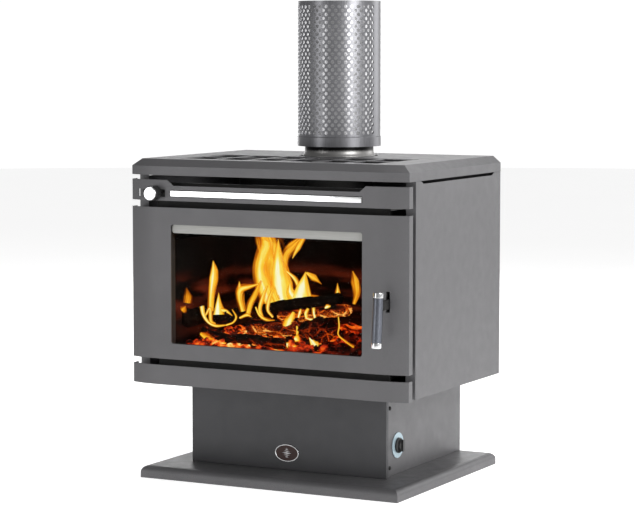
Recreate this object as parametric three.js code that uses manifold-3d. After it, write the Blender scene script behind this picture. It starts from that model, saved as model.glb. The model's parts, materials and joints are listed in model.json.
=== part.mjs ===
// Free-standing radiant and convection wood stove on a pedestal, with a fan in the pedestal
// and a perforated guard round the flue.  Millimetres, +Z up, +Y towards the back.
//
// Working frame: X = 0 on the centre line, Y = 0 at the corners of the curved front panels,
// Z = 0 on the floor.  At the end the whole stove is moved along Y, so that the origin is
// the centre of its bounding box at floor level.

import * as THREE from 'three';
import { mergeVertices } from 'three/addons/utils/BufferGeometryUtils.js';
import Module from 'manifold-3d';

const wasm = await Module();
wasm.setup();

// ------------------------------------------------------------------ driving dimensions

const gap = 0.3; // between pieces that rest on each other
const runningGap = 0.2; // round pins and spindles

// casing
const cabinetWidth = 726;
const cabinetBack = 512;
const casingSheet = 2.5;
const sideFront = 34; // front edge of the side panels
const sideFlange = 25; // folded inwards along that edge

// curved front panels, stacked from the bottom to the top
const frontSheet = 3;
const frontSetback = 12; // corners behind the flat middle
const frontCornerRun = 73; // width of the curve at each end
const frontReturn = 19; // the ends are folded back to this Y
const cabinetFloor = 231;
const lowerFasciaDrop = 3;
const lowerFasciaHeight = 47;
const doorHeight = 358.5;
const controlHeight = 49.3;
const hoodLip = 21;
const hoodBevelDrop = 16.3;
const hoodBevelWidth = 19.5;
const hoodSheet = 3;
const gapBelowDoor = 14.7;
const gapAboveDoor = 15.3;
const gapBelowHood = 10.5;

// door
const sideRail = 112;
const topRail = 40.2;
const bottomRail = 37.3;
const windowCorner = 6;
const innerFrameDepth = 6;
const innerFrameMargin = 49; // beside the window
const innerFrameMarginHigh = 25; // over and under the window
const glassThickness = 5;
const glassOverlap = 14;
const topStripHeight = 20;
const topStripThickness = 2.5;
const sealWidth = 10;
const sealFromWindow = 24; // beside the window
const sealFromWindowHigh = 13; // over and under the window
const retainerSection = [16, 3];
const retainerFromWindow = 3;
const retainerShort = 10; // of the window's top and bottom
const hingeInset = 18; // hinge axis from the side of the cabinet
const hingeAxisY = 8;
const hingePinRadius = 4;
const knuckleRadius = 7;
const knuckleLength = 30;
const hingeArmThickness = 6;
const hingeInsetFromEnd = 60; // hinge centre from the door's top and bottom edges

// firebox
const frameThickness = 8;
const frameLap = 11; // opening of the front frame beyond the window
const frameFlange = 42; // width of the front frame's side bars
const frameFoot = 28; // front frame below the door
const fireboxWall = 6;
const fireboxBack = 470;
const fireboxBelowDoor = 20;
const fireboxAboveDoor = 6;
const brickThickness = 25;
const floorBrickThickness = 28;
const baffleThickness = 20;
const baffleFront = 130;
const baffleBelowTop = 58.6; // smoke path over the baffle

// hood top
const grilleColumns = 6;
const grilleRows = 2;
const grillePitch = 87;
const grilleBar = 13;
const grilleFront = 52;
const grilleRim = 10;
const grilleToFlueHole = 8.6;

// flue
const flueY = 364.6;
const fluePipeRadius = 75;
const fluePipeWall = 2;
const spigotWall = 6;
const spigotClearance = 2.5; // round the pipe
const spigotFlangeWidth = 16.5;
const collarFlare = 5;
const flueHoleClearance = 6.5; // round the flared collar
const guardAirGap = 23.5; // between pipe and guard
const guardWall = 1.5;
const guardBottomAboveTop = 23.7;
const flueTop = 1133;

// pedestal and base
const pedestalHalfWidth = 250;
const pedestalFront = 97.5;
const pedestalBack = 533;
const pedestalFrontOverhang = 9.6; // the front panel is wider than the box behind it
const pedestalFrontReturn = 12;
const pedestalTopFlange = 40; // closes the pedestal behind the cabinet
const pedestalSheet = 2.5;
const baseHalfWidth = 340;
const baseFront = -9.4;
const baseBack = 548.3;
const baseHeight = 29;
const baseLip = 14;
const baseBevel = 18;
const baseSheet = 3;
const baseFlange = 20;
const screwHeadRadius = 5;
const screwShankRadius = 2.2;
const badgeSize = [63, 41, 2];
const badgeHeight = 41; // centre above the base plate

// controls
const trimBarLength = 500;
const trimBarHeight = 13.4;
const trimBarDepth = 8;
const trimBarProud = 2;
const trimSlotClearance = 0.9;
const controlNotchDepth = 13.3;
const controlNotchHalf = 261;
const controlNotchSlant = 17;
const airSlotHeight = 18;
const airSlotSpan = [22, 97]; // from the side of the cabinet
const airKnobFromSide = 71.4;
const airKnobCapRadius = 16.3;
const airKnobBodyRadius = 17.5;
const airStemRadius = 4;
const handleFromSide = 48;
const handleStandOff = 48;
const handleLength = 126;
const handleRadius = 12;
const ferruleLength = 13;
const handleTilt = 5; // degrees, foot of the grip outwards
const latchHeight = 159.5; // latch pivot above the bottom of the door
const latchArmHeight = 22;
const latchArmThickness = 6;
const latchSlotWidth = 9.4;
const latchSlotBelow = 18.5;
const latchSlotAbove = 28.5;
const latchPinRadius = 3;
const dialRadius = 30;
const dialThickness = 1.5;
const dialFromFront = 79.3;
const dialHeight = 67.7; // above the base plate
const fanKnobRadius = 18;
const fanKnobDepth = 15;
const spindleRadius = 3.5;

// fan in the pedestal
const blowerRadius = 72;
const blowerHalfWidth = 43;
const blowerWall = 2;
const blowerOutlet = [10, 72]; // reach of the outlet duct, from the wheel's axis towards the back
const wheelRadius = 57;
const wheelBlades = 16;
const motorRadius = 34;
const motorLength = 62;
const shaftRadius = 4;

const roundSides = 48;
const smallSides = 24;

// ------------------------------------------------------------------ derived levels

const halfWidth = cabinetWidth / 2;
const frontFlat = halfWidth - frontCornerRun;
const frontRadius = (frontCornerRun ** 2 + frontSetback ** 2) / (2 * frontSetback);
const frontFace = -frontSetback;

const lowerFasciaBottom = cabinetFloor - lowerFasciaDrop;
const lowerFasciaTop = lowerFasciaBottom + lowerFasciaHeight;
const doorBottom = lowerFasciaTop + gapBelowDoor;
const doorTop = doorBottom + doorHeight;
const controlBottom = doorTop + gapAboveDoor;
const controlTop = controlBottom + controlHeight;
const hoodBottom = controlTop + gapBelowHood;
const hoodBevelStart = hoodBottom + hoodLip;
const cabinetTop = hoodBevelStart + hoodBevelDrop;

const spigotRadius = fluePipeRadius + spigotClearance + spigotWall;
const flueHoleRadius = spigotRadius + collarFlare + flueHoleClearance;
const guardRadius = fluePipeRadius + guardAirGap + guardWall;

const windowHalf = halfWidth - sideRail;
const windowBottom = doorBottom + bottomRail;
const windowTop = doorTop - topRail;

const frameFront = frontReturn + gap;
const frameBack = frameFront + frameThickness;
const frameOpening = {
  half: windowHalf + frameLap,
  bottom: windowBottom - frameLap,
  top: windowTop + frameLap,
};
const frameHalf = frameOpening.half + frameFlange;

// ------------------------------------------------------------------ solids

function solidOf(geometry) {
  const plain = geometry.clone();
  plain.deleteAttribute('normal');
  plain.deleteAttribute('uv');
  const merged = mergeVertices(plain, 1e-4);
  return new wasm.Manifold(new wasm.Mesh({
    numProp: 3,
    vertProperties: new Float32Array(merged.attributes.position.array),
    triVerts: new Uint32Array(merged.index.array),
  }));
}

function geometryOf(solid) {
  const mesh = solid.getMesh();
  const geometry = new THREE.BufferGeometry();
  geometry.setAttribute('position', new THREE.BufferAttribute(mesh.vertProperties, 3));
  geometry.setIndex(new THREE.BufferAttribute(mesh.triVerts, 1));
  geometry.computeVertexNormals();
  return geometry;
}

function cut(base, ...tools) {
  return geometryOf(tools.reduce((rest, tool) => rest.subtract(solidOf(tool)), solidOf(base)));
}

function join(first, ...more) {
  return geometryOf(more.reduce((sum, piece) => sum.add(solidOf(piece)), solidOf(first)));
}

function block([x0, x1], [y0, y1], [z0, z1]) {
  const geometry = new THREE.BoxGeometry(x1 - x0, y1 - y0, z1 - z0);
  return geometry.translate((x0 + x1) / 2, (y0 + y1) / 2, (z0 + z1) / 2);
}

// Shapes are drawn in the plane across the axis: (x, y) for Z, (x, z) for Y and (y, z) for X.
function prismZ(shape, [z0, z1]) {
  const options = { depth: z1 - z0, bevelEnabled: false, curveSegments: 10 };
  return new THREE.ExtrudeGeometry(shape, options).translate(0, 0, z0);
}

function prismY(shape, [y0, y1]) {
  return prismZ(shape, [0, y1 - y0]).rotateX(Math.PI / 2).translate(0, y1, 0);
}

function prismX(shape, [x0, x1]) {
  const turn = new THREE.Matrix4().makeBasis(
    new THREE.Vector3(0, 1, 0), new THREE.Vector3(0, 0, 1), new THREE.Vector3(1, 0, 0));
  return prismZ(shape, [0, x1 - x0]).applyMatrix4(turn).translate(x0, 0, 0);
}

// A turned piece about Z.  The profile lists [radius, z] and starts and ends on the axis,
// or closes on itself when `ring` is set.
function turned(profile, { ring = false, sides = roundSides } = {}) {
  const points = profile.map(([radius, z]) => new THREE.Vector2(radius, z));
  if (ring) points.push(points[0].clone());
  return new THREE.LatheGeometry(points, sides).rotateX(Math.PI / 2);
}

function tube(outer, wall, [z0, z1], sides = roundSides) {
  const inner = outer - wall;
  return turned([[inner, z0], [outer, z0], [outer, z1], [inner, z1]], { ring: true, sides });
}

function rod(radius, [z0, z1], sides = smallSides) {
  return turned([[0, z0], [radius, z0], [radius, z1], [0, z1]], { sides });
}

// Stands a piece turned about Z on another axis.
const alongX = (geometry) => geometry.rotateY(Math.PI / 2);

function polygon(points) {
  return new THREE.Shape(points.map(([x, y]) => new THREE.Vector2(x, y)));
}

function rectangle([x0, x1], [y0, y1], radius = 0) {
  if (radius === 0) return polygon([[x0, y0], [x1, y0], [x1, y1], [x0, y1]]);
  const shape = new THREE.Shape();
  shape.absarc(x1 - radius, y0 + radius, radius, -Math.PI / 2, 0);
  shape.absarc(x1 - radius, y1 - radius, radius, 0, Math.PI / 2);
  shape.absarc(x0 + radius, y1 - radius, radius, Math.PI / 2, Math.PI);
  shape.absarc(x0 + radius, y0 + radius, radius, Math.PI, 1.5 * Math.PI);
  return shape;
}

function circle(x, y, radius) {
  const shape = new THREE.Shape();
  shape.absarc(x, y, radius, 0, 2 * Math.PI);
  return shape;
}

// A solid through rings of the same number of points, [{ z, points }], from the bottom up.
function loft(rings) {
  const count = rings[0].points.length;
  const vertices = rings.flatMap(({ z, points }) => points.flatMap(([x, y]) => [x, y, z]));
  const flat = rings[0].points.map(([x, y]) => new THREE.Vector2(x, y));
  const caps = THREE.ShapeUtils.triangulateShape(flat, []);
  const top = (rings.length - 1) * count;
  const index = caps.flatMap(([a, b, c]) => [a, c, b, top + a, top + b, top + c]);
  for (let ring = 0; ring < rings.length - 1; ring += 1) {
    for (let i = 0; i < count; i += 1) {
      const a = ring * count + i;
      const b = ring * count + (i + 1) % count;
      index.push(a, b, b + count, a, b + count, a + count);
    }
  }
  const geometry = new THREE.BufferGeometry();
  geometry.setAttribute('position', new THREE.Float32BufferAttribute(vertices, 3));
  geometry.setIndex(index);
  return geometry;
}

// ------------------------------------------------------------------ materials and naming

function metal(color, roughness, metalness = 0.6) {
  return new THREE.MeshStandardMaterial({ color, roughness, metalness });
}

const charcoal = () => metal(0x66666a, 0.45);
const darkPaint = () => metal(0x4a4a4c, 0.5);
const blackSteel = () => metal(0x1c1b1b, 0.7);
const castIron = () => metal(0x222122, 0.8);
const chrome = () => metal(0xe6e8ea, 0.12, 1);
const brushedSteel = () => metal(0xaeb0b3, 0.3, 1);
const firebrick = () => metal(0x9a7f66, 0.95, 0);
const blackPlastic = () => metal(0x18191b, 0.4, 0);

const stove = new THREE.Group();

function assembly(parent, x = 0, y = 0, z = 0) {
  const group = new THREE.Group();
  group.position.set(x, y, z);
  parent.add(group);
  return group;
}

function piece(parent, name, geometry, material) {
  const mesh = new THREE.Mesh(geometry, material);
  mesh.name = name;
  parent.add(mesh);
  return mesh;
}

const mirrored = [['left', -1], ['right', 1]];

// Orders a span after mirroring it to one side.
function sideSpan(side, a, b) {
  return [Math.min(side * a, side * b), Math.max(side * a, side * b)];
}

// ------------------------------------------------------------------ curved front outline

// The right half of the front outline in plan, set in by `inset`: from the end of the flat
// stretch to the corner.
function frontCurve(inset, steps = 8) {
  const radius = frontRadius - inset;
  const end = Math.asin((frontCornerRun - inset) / radius);
  return Array.from({ length: steps + 1 }, (_, i) => {
    const angle = (end * i) / steps;
    const y = frontFace + frontRadius - radius * Math.cos(angle);
    return [frontFlat + radius * Math.sin(angle), y];
  });
}

// The whole outline, from the left end to the right end, running back to `backY`.
function frontOutline(inset, backY) {
  const right = frontCurve(inset);
  const left = right.map(([x, y]) => [-x, y]).reverse();
  return [[-halfWidth + inset, backY], ...left, ...right, [halfWidth - inset, backY]];
}

// The back of a front panel's sheet at `x`.
function skinBack(x) {
  const run = Math.max(0, Math.abs(x) - frontFlat);
  const radius = frontRadius - frontSheet;
  return frontFace + frontRadius - Math.sqrt(radius ** 2 - run ** 2);
}

function frontPanel(z) {
  const outer = frontOutline(0, frontReturn);
  const inner = frontOutline(frontSheet, frontReturn).reverse();
  return prismZ(polygon([...outer, ...inner]), z);
}

// ------------------------------------------------------------------ base and pedestal

function rectangleRing(inset, z) {
  const x = baseHalfWidth - inset;
  const front = baseFront + inset;
  const back = baseBack - inset;
  return { z, points: [[-x, front], [x, front], [x, back], [-x, back]] };
}

function basePlate() {
  const roundSteps = 5;
  const rounded = (offset) => Array.from({ length: roundSteps + 1 }, (_, i) => {
    const angle = (Math.PI / 2) * (i / roundSteps);
    const inset = baseBevel * (1 - Math.cos(angle));
    const z = baseLip + (baseHeight - baseLip) * Math.sin(angle);
    return rectangleRing(inset + offset, z - offset);
  });
  const outer = loft([rectangleRing(0, 0), ...rounded(0)]);
  const inner = loft([rectangleRing(baseSheet, baseSheet), ...rounded(baseSheet)]);
  const mouth = loft([rectangleRing(baseFlange, -1), rectangleRing(baseFlange, baseSheet + 1)]);
  return cut(outer, inner, mouth);
}

function buildPedestal() {
  const group = assembly(stove);
  const z = [baseHeight + gap, cabinetFloor - gap];
  const sideOuter = pedestalHalfWidth;
  const sideInner = sideOuter - pedestalSheet;
  piece(group, 'base_plate', basePlate(), charcoal());

  const frontHalf = pedestalHalfWidth + pedestalFrontOverhang;
  const inside = frontHalf - pedestalSheet;
  const frontBack = pedestalFront + pedestalSheet;
  const returnBack = pedestalFront + pedestalFrontReturn;
  const frontPlan = polygon([
    [-frontHalf, returnBack], [-frontHalf, pedestalFront], [frontHalf, pedestalFront],
    [frontHalf, returnBack], [inside, returnBack], [inside, frontBack],
    [-inside, frontBack], [-inside, returnBack],
  ]);
  piece(group, 'pedestal_front_panel', prismZ(frontPlan, z), darkPaint());

  const flangeY = frontBack + gap;
  const flangeWidth = 22;
  const screwY = pedestalFront + 37;
  const screwHeights = [['lower', baseHeight + 20], ['upper', cabinetFloor - 42]];
  const dialY = pedestalFront + dialFromFront;
  const dialZ = baseHeight + dialHeight;
  for (const [label, side] of mirrored) {
    const plan = polygon([
      [side * sideOuter, pedestalBack], [side * sideInner, pedestalBack],
      [side * sideInner, flangeY + pedestalSheet],
      [side * (sideOuter - flangeWidth), flangeY + pedestalSheet],
      [side * (sideOuter - flangeWidth), flangeY], [side * sideOuter, flangeY],
    ]);
    const through = sideSpan(side, sideInner - 5, sideOuter + 5);
    const holes = screwHeights.map(([, height]) =>
      prismX(circle(screwY, height, screwShankRadius + gap), through));
    if (side === 1) holes.push(prismX(circle(dialY, dialZ, spindleRadius + 2), through));
    piece(group, `pedestal_side_${label}`, cut(prismZ(plan, z), ...holes), charcoal());

    for (const [level, height] of screwHeights) {
      const seat = sideOuter + gap;
      const screw = turned([
        [0, seat - 9], [screwShankRadius, seat - 9], [screwShankRadius, seat],
        [screwHeadRadius, seat], [screwHeadRadius, seat + 1.4], [screwHeadRadius * 0.6, seat + 2.8],
        [0, seat + 3],
      ], { sides: 16 });
      const mesh = piece(group, `pedestal_screw_${label}_${level}`, screw, blackSteel());
      mesh.position.set(0, screwY, height);
      mesh.rotation.y = side * Math.PI / 2;
    }
  }

  const glandX = -180;
  const glandZ = baseHeight + 34;
  const glandShank = 6;
  const backSpan = [-sideInner + gap, sideInner - gap];
  const backPlate = join(
    block(backSpan, [pedestalBack - pedestalSheet, pedestalBack], z),
    block(backSpan, [pedestalBack - pedestalTopFlange, pedestalBack], [z[1] - pedestalSheet, z[1]]));
  const glandHole = prismY(circle(glandX, glandZ, glandShank + gap), [pedestalBack - 10, pedestalBack + 5]);
  piece(group, 'pedestal_back_panel', cut(backPlate, glandHole), charcoal());
  const gland = piece(group, 'cable_gland', turned([
    [3.5, -10], [glandShank, -10], [glandShank, gap], [10, gap], [10, 3.5], [7.5, 6.3], [3.5, 6.3],
  ], { ring: true, sides: smallSides }), blackPlastic());
  gland.position.set(glandX, pedestalBack, glandZ);
  gland.rotation.x = -Math.PI / 2;

  const [badgeWidth, badgeTall, badgeThickness] = badgeSize;
  const oval = new THREE.Shape();
  oval.absellipse(0, 0, badgeWidth / 2, badgeTall / 2, 0, 2 * Math.PI);
  const badge = piece(group, 'badge', prismY(oval, [-badgeThickness, 0]), brushedSteel());
  badge.position.set(0, pedestalFront - gap, baseHeight + badgeHeight);
  return { dialY, dialZ, sideInner, sideOuter };
}

// ------------------------------------------------------------------ fan, its dial and its speed control

function buildFan({ dialY, dialZ, sideInner, sideOuter }) {
  const dial = assembly(stove, 0, dialY, dialZ);
  const dialFace = sideOuter + gap + dialThickness;
  piece(dial, 'fan_dial_plate',
    alongX(tube(dialRadius, dialRadius - spindleRadius - 2, [sideOuter + gap, dialFace])),
    metal(0xb9cbd4, 0.35, 0.5));

  const knobFoot = dialFace + gap;
  const knobFront = knobFoot + fanKnobDepth;
  const skirt = 4;
  const spindleEnd = sideInner - 22;
  const knobBody = alongX(turned([
    [0, spindleEnd], [spindleRadius, spindleEnd], [spindleRadius, knobFoot], [fanKnobRadius, knobFoot],
    [fanKnobRadius, knobFoot + skirt], [fanKnobRadius - 3, knobFoot + skirt + 2],
    [fanKnobRadius - 4, knobFront - 4], [0, knobFront - 4],
  ]));
  const gripHalf = fanKnobRadius - 4.5;
  const grip = block([knobFront - 8, knobFront], [-4, 4], [-gripHalf, gripHalf]);
  piece(dial, 'fan_knob', join(knobBody, grip), blackPlastic());

  const controllerEnd = sideInner - gap;
  const controller = block([controllerEnd - 40, controllerEnd], [-28, 28], [-26, 26]);
  const bore = alongX(rod(spindleRadius + gap, [controllerEnd - 28, controllerEnd + 1]));
  piece(dial, 'speed_controller', cut(controller, bore), blackPlastic());

  const axisZ = (baseHeight + cabinetFloor) / 2;
  const axisY = (pedestalFront + pedestalBack) / 2;
  const blower = assembly(stove, 0, axisY, axisZ);
  const outer = blowerRadius + blowerWall;
  const outerHalf = blowerHalfWidth + blowerWall;
  const [outletStart, outletEnd] = blowerOutlet;
  const outletTop = cabinetFloor - gap - axisZ;
  const scroll = join(
    alongX(rod(outer, [-outerHalf, outerHalf], roundSides)),
    block([-outerHalf, outerHalf], [outletStart - blowerWall, outletEnd + blowerWall], [0, outletTop]));
  const inside = join(
    alongX(rod(blowerRadius, [-blowerHalfWidth, blowerHalfWidth], roundSides)),
    block([-blowerHalfWidth, blowerHalfWidth], [outletStart, outletEnd], [0, outletTop + 5]));
  const inlet = alongX(rod(wheelRadius - 14, [-outerHalf - 5, 0], roundSides));
  const motorHole = alongX(rod(shaftRadius + 8, [0, outerHalf + 5]));
  piece(blower, 'blower_housing', cut(scroll, inside, inlet, motorHole), brushedSteel());

  const motorStart = outerHalf + gap;
  const motor = alongX(turned([
    [shaftRadius + gap, motorStart], [motorRadius, motorStart], [motorRadius, motorStart + motorLength - 8],
    [motorRadius - 8, motorStart + motorLength], [shaftRadius + gap, motorStart + motorLength],
  ], { ring: true, sides: smallSides }));
  piece(blower, 'blower_motor', motor, blackSteel());

  const bladeEnd = blowerHalfWidth - 5;
  const bladeDepth = 12;
  const plate = 2;
  const blades = Array.from({ length: wheelBlades }, (_, i) => {
    const bladeY = [wheelRadius - bladeDepth, wheelRadius - 1];
    const blade = block([-bladeEnd + 1, bladeEnd - 1], bladeY, [-0.8, 0.8]);
    return blade.rotateX((2 * Math.PI * i) / wheelBlades);
  });
  const backPlate = alongX(rod(wheelRadius, [bladeEnd - plate, bladeEnd], roundSides));
  const rim = alongX(tube(wheelRadius, bladeDepth, [-bladeEnd, -bladeEnd + plate]));
  const shaft = alongX(rod(shaftRadius, [0, motorStart + motorLength - 15]));
  const hub = alongX(rod(16, [bladeEnd - 14, bladeEnd - 1]));
  piece(blower, 'blower_wheel', join(backPlate, rim, shaft, hub, ...blades), brushedSteel());
  const blowerOutletY = [axisY + outletStart - blowerWall, axisY + outletEnd + blowerWall];
  return { blowerOutletY, outerHalf };
}

// ------------------------------------------------------------------ casing

function sidePanel(side) {
  const outer = side * halfWidth;
  const inner = side * (halfWidth - casingSheet);
  const lip = side * (halfWidth - sideFlange);
  const plan = polygon([
    [outer, cabinetBack], [outer, sideFront], [lip, sideFront], [lip, sideFront + casingSheet],
    [inner, sideFront + casingSheet], [inner, cabinetBack],
  ]);
  const slotFront = sideFront + 25.5;
  const slotBack = cabinetBack - 37;
  const slotDrop = 6.5;
  const slant = 15;
  const top = hoodBottom - gap;
  const slot = polygon([
    [slotFront, top + 1], [slotFront + slant, top - slotDrop],
    [slotBack - slant, top - slotDrop], [slotBack, top + 1],
  ]);
  const through = sideSpan(side, halfWidth - sideFlange - 5, halfWidth + 5);
  return cut(prismZ(plan, [cabinetFloor, top]), prismX(slot, through));
}

function hood() {
  const ring = (inset, z, back = cabinetBack) => ({ z, points: frontOutline(inset, back) });
  const outer = loft([
    ring(0, hoodBottom), ring(0, hoodBevelStart), ring(hoodBevelWidth, cabinetTop),
  ]);
  const innerBack = cabinetBack - hoodSheet;
  const inner = loft([
    ring(hoodSheet, hoodBottom - 1, innerBack),
    ring(hoodSheet, hoodBevelStart - hoodSheet / 2, innerBack),
    ring(hoodBevelWidth + hoodSheet / 2, cabinetTop - hoodSheet, innerBack),
  ]);
  const through = [cabinetTop - 20, cabinetTop + 5];
  const flueHole = rod(flueHoleRadius, through, roundSides).translate(0, flueY, 0);
  const { half, back } = grillePlan();
  const grilleHole = block([-half - gap, half + gap], [grilleFront - gap, back + gap], through);
  return cut(outer, inner, flueHole, grilleHole);
}

function grillePlan() {
  const half = (grilleColumns * grillePitch - grilleBar) / 2 + grilleRim;
  const back = flueY - flueHoleRadius - grilleToFlueHole;
  const rowPitch = (back - grilleFront - 2 * grilleRim + grilleBar) / grilleRows;
  return { half, back, rowPitch };
}

function topGrille() {
  const { half, back, rowPitch } = grillePlan();
  const level = [cabinetTop - hoodSheet, cabinetTop - 0.5];
  const openings = [];
  for (let row = 0; row < grilleRows; row += 1) {
    const y = grilleFront + grilleRim + row * rowPitch;
    for (let column = 0; column < grilleColumns; column += 1) {
      const x = -half + grilleRim + column * grillePitch;
      openings.push(block([x, x + grillePitch - grilleBar], [y, y + rowPitch - grilleBar],
        [level[0] - 1, level[1] + 1]));
    }
  }
  return cut(block([-half, half], [grilleFront, back], level), ...openings);
}

function controlFascia(trimZ) {
  const notch = polygon([
    [-controlNotchHalf + controlNotchSlant, controlTop - controlNotchDepth],
    [controlNotchHalf - controlNotchSlant, controlTop - controlNotchDepth],
    [controlNotchHalf, controlTop + 1], [-controlNotchHalf, controlTop + 1],
  ]);
  const cutDepth = [frontFace - 5, frontFace + frontSetback + frontSheet];
  const barHalf = trimBarLength / 2 + trimSlotClearance;
  const barRise = trimBarHeight / 2 + trimSlotClearance;
  const trimSlot = block([-barHalf, barHalf], cutDepth, [trimZ - barRise, trimZ + barRise]);
  const [slotStart, slotEnd] = airSlotSpan;
  const airSlot = rectangle(
    [-halfWidth + slotStart, -halfWidth + slotEnd],
    [trimZ - airSlotHeight / 2, trimZ + airSlotHeight / 2]);
  const panel = frontPanel([controlBottom, controlTop]);
  return cut(panel, prismY(notch, cutDepth), trimSlot, prismY(airSlot, cutDepth));
}

function buildCasing(trimZ, blower) {
  const group = assembly(stove);
  const inside = halfWidth - casingSheet - gap;
  const floor = block([-inside, inside],
    [sideFront + casingSheet + gap, cabinetBack - casingSheet - gap],
    [cabinetFloor, cabinetFloor + casingSheet]);
  const airway = block([-blower.outerHalf, blower.outerHalf], blower.blowerOutletY,
    [cabinetFloor - 5, cabinetFloor + 10]);
  piece(group, 'cabinet_floor', cut(floor, airway), blackSteel());
  for (const [label, side] of mirrored) {
    piece(group, `cabinet_side_${label}`, sidePanel(side), charcoal());
  }
  piece(group, 'rear_panel', block([-inside, inside], [cabinetBack - casingSheet, cabinetBack],
    [cabinetFloor, hoodBottom - gap]), charcoal());
  piece(group, 'hood', hood(), charcoal());
  piece(group, 'top_grille', topGrille(), charcoal());
  piece(group, 'lower_fascia', frontPanel([lowerFasciaBottom, lowerFasciaTop]), charcoal());
  piece(group, 'control_fascia', controlFascia(trimZ), charcoal());
  const barFront = frontFace - trimBarProud;
  piece(group, 'control_trim_bar', block([-trimBarLength / 2, trimBarLength / 2],
    [barFront, barFront + trimBarDepth], [trimZ - trimBarHeight / 2, trimZ + trimBarHeight / 2]), chrome());
}

// ------------------------------------------------------------------ firebox

function buildFirebox(trimZ) {
  const group = assembly(stove);
  const innerHalf = frameOpening.half + brickThickness + gap;
  const outerHalf = innerHalf + fireboxWall;
  const z0 = doorBottom - fireboxBelowDoor;
  const z1 = doorTop + fireboxAboveDoor;
  const floorZ = z0 + fireboxWall;
  const y0 = frameBack + gap;
  const innerBack = fireboxBack - fireboxWall;

  const shellOuter = block([-outerHalf, outerHalf], [y0, fireboxBack], [z0, z1]);
  const shellInner = block([-innerHalf, innerHalf], [y0 - 1, innerBack], [floorZ, z1 - fireboxWall]);
  const flueHole = rod(fluePipeRadius, [z1 - 20, z1 + 5], roundSides).translate(0, flueY, 0);
  piece(group, 'firebox_shell', cut(shellOuter, shellInner, flueHole), blackSteel());

  const plate = rectangle([-frameHalf, frameHalf], [doorBottom - frameFoot, controlTop - 8]);
  plate.holes.push(rectangle(
    [-frameOpening.half, frameOpening.half], [frameOpening.bottom, frameOpening.top]));
  const [slotStart] = airSlotSpan;
  const airPort = [-halfWidth + slotStart + 65, -halfWidth + slotStart + 145];
  plate.holes.push(rectangle(airPort, [trimZ - 7, trimZ + 7]));
  piece(group, 'firebox_front_frame', prismY(plate, [frameFront, frameBack]), blackSteel());

  const brickFront = y0 + gap;
  const floorTop = floorZ + gap + floorBrickThickness;
  const baffleTop = z1 - fireboxWall - baffleBelowTop;
  const baffleBottom = baffleTop - baffleThickness;
  const wallZ = [floorTop + gap, baffleBottom - gap];
  const wallInner = innerHalf - gap - brickThickness;
  const backBrick = [innerBack - gap - brickThickness, innerBack - gap];
  piece(group, 'firebrick_floor', block([-innerHalf + gap, innerHalf - gap],
    [brickFront, innerBack - gap], [floorZ + gap, floorTop]), firebrick());
  for (const [label, side] of mirrored) {
    piece(group, `firebrick_${label}`, block(sideSpan(side, wallInner, innerHalf - gap),
      [brickFront, backBrick[0] - gap], wallZ), firebrick());
  }
  piece(group, 'firebrick_back', block([-innerHalf + gap, innerHalf - gap], backBrick, wallZ), firebrick());
  piece(group, 'baffle_plate', block([-innerHalf + gap, innerHalf - gap],
    [baffleFront, innerBack - gap], [baffleBottom, baffleTop]), metal(0xb8a88c, 0.95, 0));
  return { fireboxTop: z1 };
}

// ------------------------------------------------------------------ flue

function buildFlue({ fireboxTop }) {
  const flue = assembly(stove, 0, flueY, 0);
  const spigotBottom = fireboxTop + gap;
  const spigotInner = spigotRadius - spigotWall;
  const flangeRadius = spigotRadius + spigotFlangeWidth;
  const collarBottom = cabinetTop - 6;
  piece(flue, 'flue_spigot', turned([
    [spigotInner, spigotBottom], [flangeRadius, spigotBottom],
    [flangeRadius, spigotBottom + 8], [spigotRadius, spigotBottom + 8],
    [spigotRadius, collarBottom - gap], [spigotInner, collarBottom - gap],
  ], { ring: true }), castIron());

  const collarWall = 2;
  const collarTop = cabinetTop + guardBottomAboveTop + 12;
  const collarOuter = spigotRadius;
  piece(flue, 'flue_collar', turned([
    [collarOuter - collarWall, collarBottom], [collarOuter + collarFlare, collarBottom],
    [collarOuter + collarFlare, cabinetTop + 1], [collarOuter + collarFlare * 0.55, cabinetTop + 4],
    [collarOuter + collarFlare * 0.2, cabinetTop + 8], [collarOuter, cabinetTop + 13],
    [collarOuter, collarTop], [collarOuter - collarWall, collarTop],
  ], { ring: true }), brushedSteel());

  piece(flue, 'flue_pipe', tube(fluePipeRadius, fluePipeWall, [fireboxTop + 20, flueTop]), brushedSteel());
  const guardBottom = cabinetTop + guardBottomAboveTop;
  piece(flue, 'flue_guard', tube(guardRadius, guardWall, [guardBottom, flueTop]), brushedSteel());

  const spacerZ = [collarTop + 4, collarTop + 10];
  const spacerRing = tube(fluePipeRadius + gap + 3, 3, spacerZ);
  const spacerReach = guardRadius - guardWall - gap;
  const tabs = [0, 1, 2].map((turn) =>
    block([-8, 8], [fluePipeRadius + 1, spacerReach - 0.5], spacerZ).rotateZ((2 * Math.PI * turn) / 3));
  piece(flue, 'flue_guard_spacer', join(spacerRing, ...tabs), brushedSteel());
}

// ------------------------------------------------------------------ door

const hingeAxisX = -halfWidth + hingeInset;
const hingeLevels = [['lower', doorBottom + hingeInsetFromEnd], ['upper', doorTop - hingeInsetFromEnd]];
const latchX = halfWidth - handleFromSide;
const latchY = hingeAxisY;
const latchZ = doorBottom + latchHeight;

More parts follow.
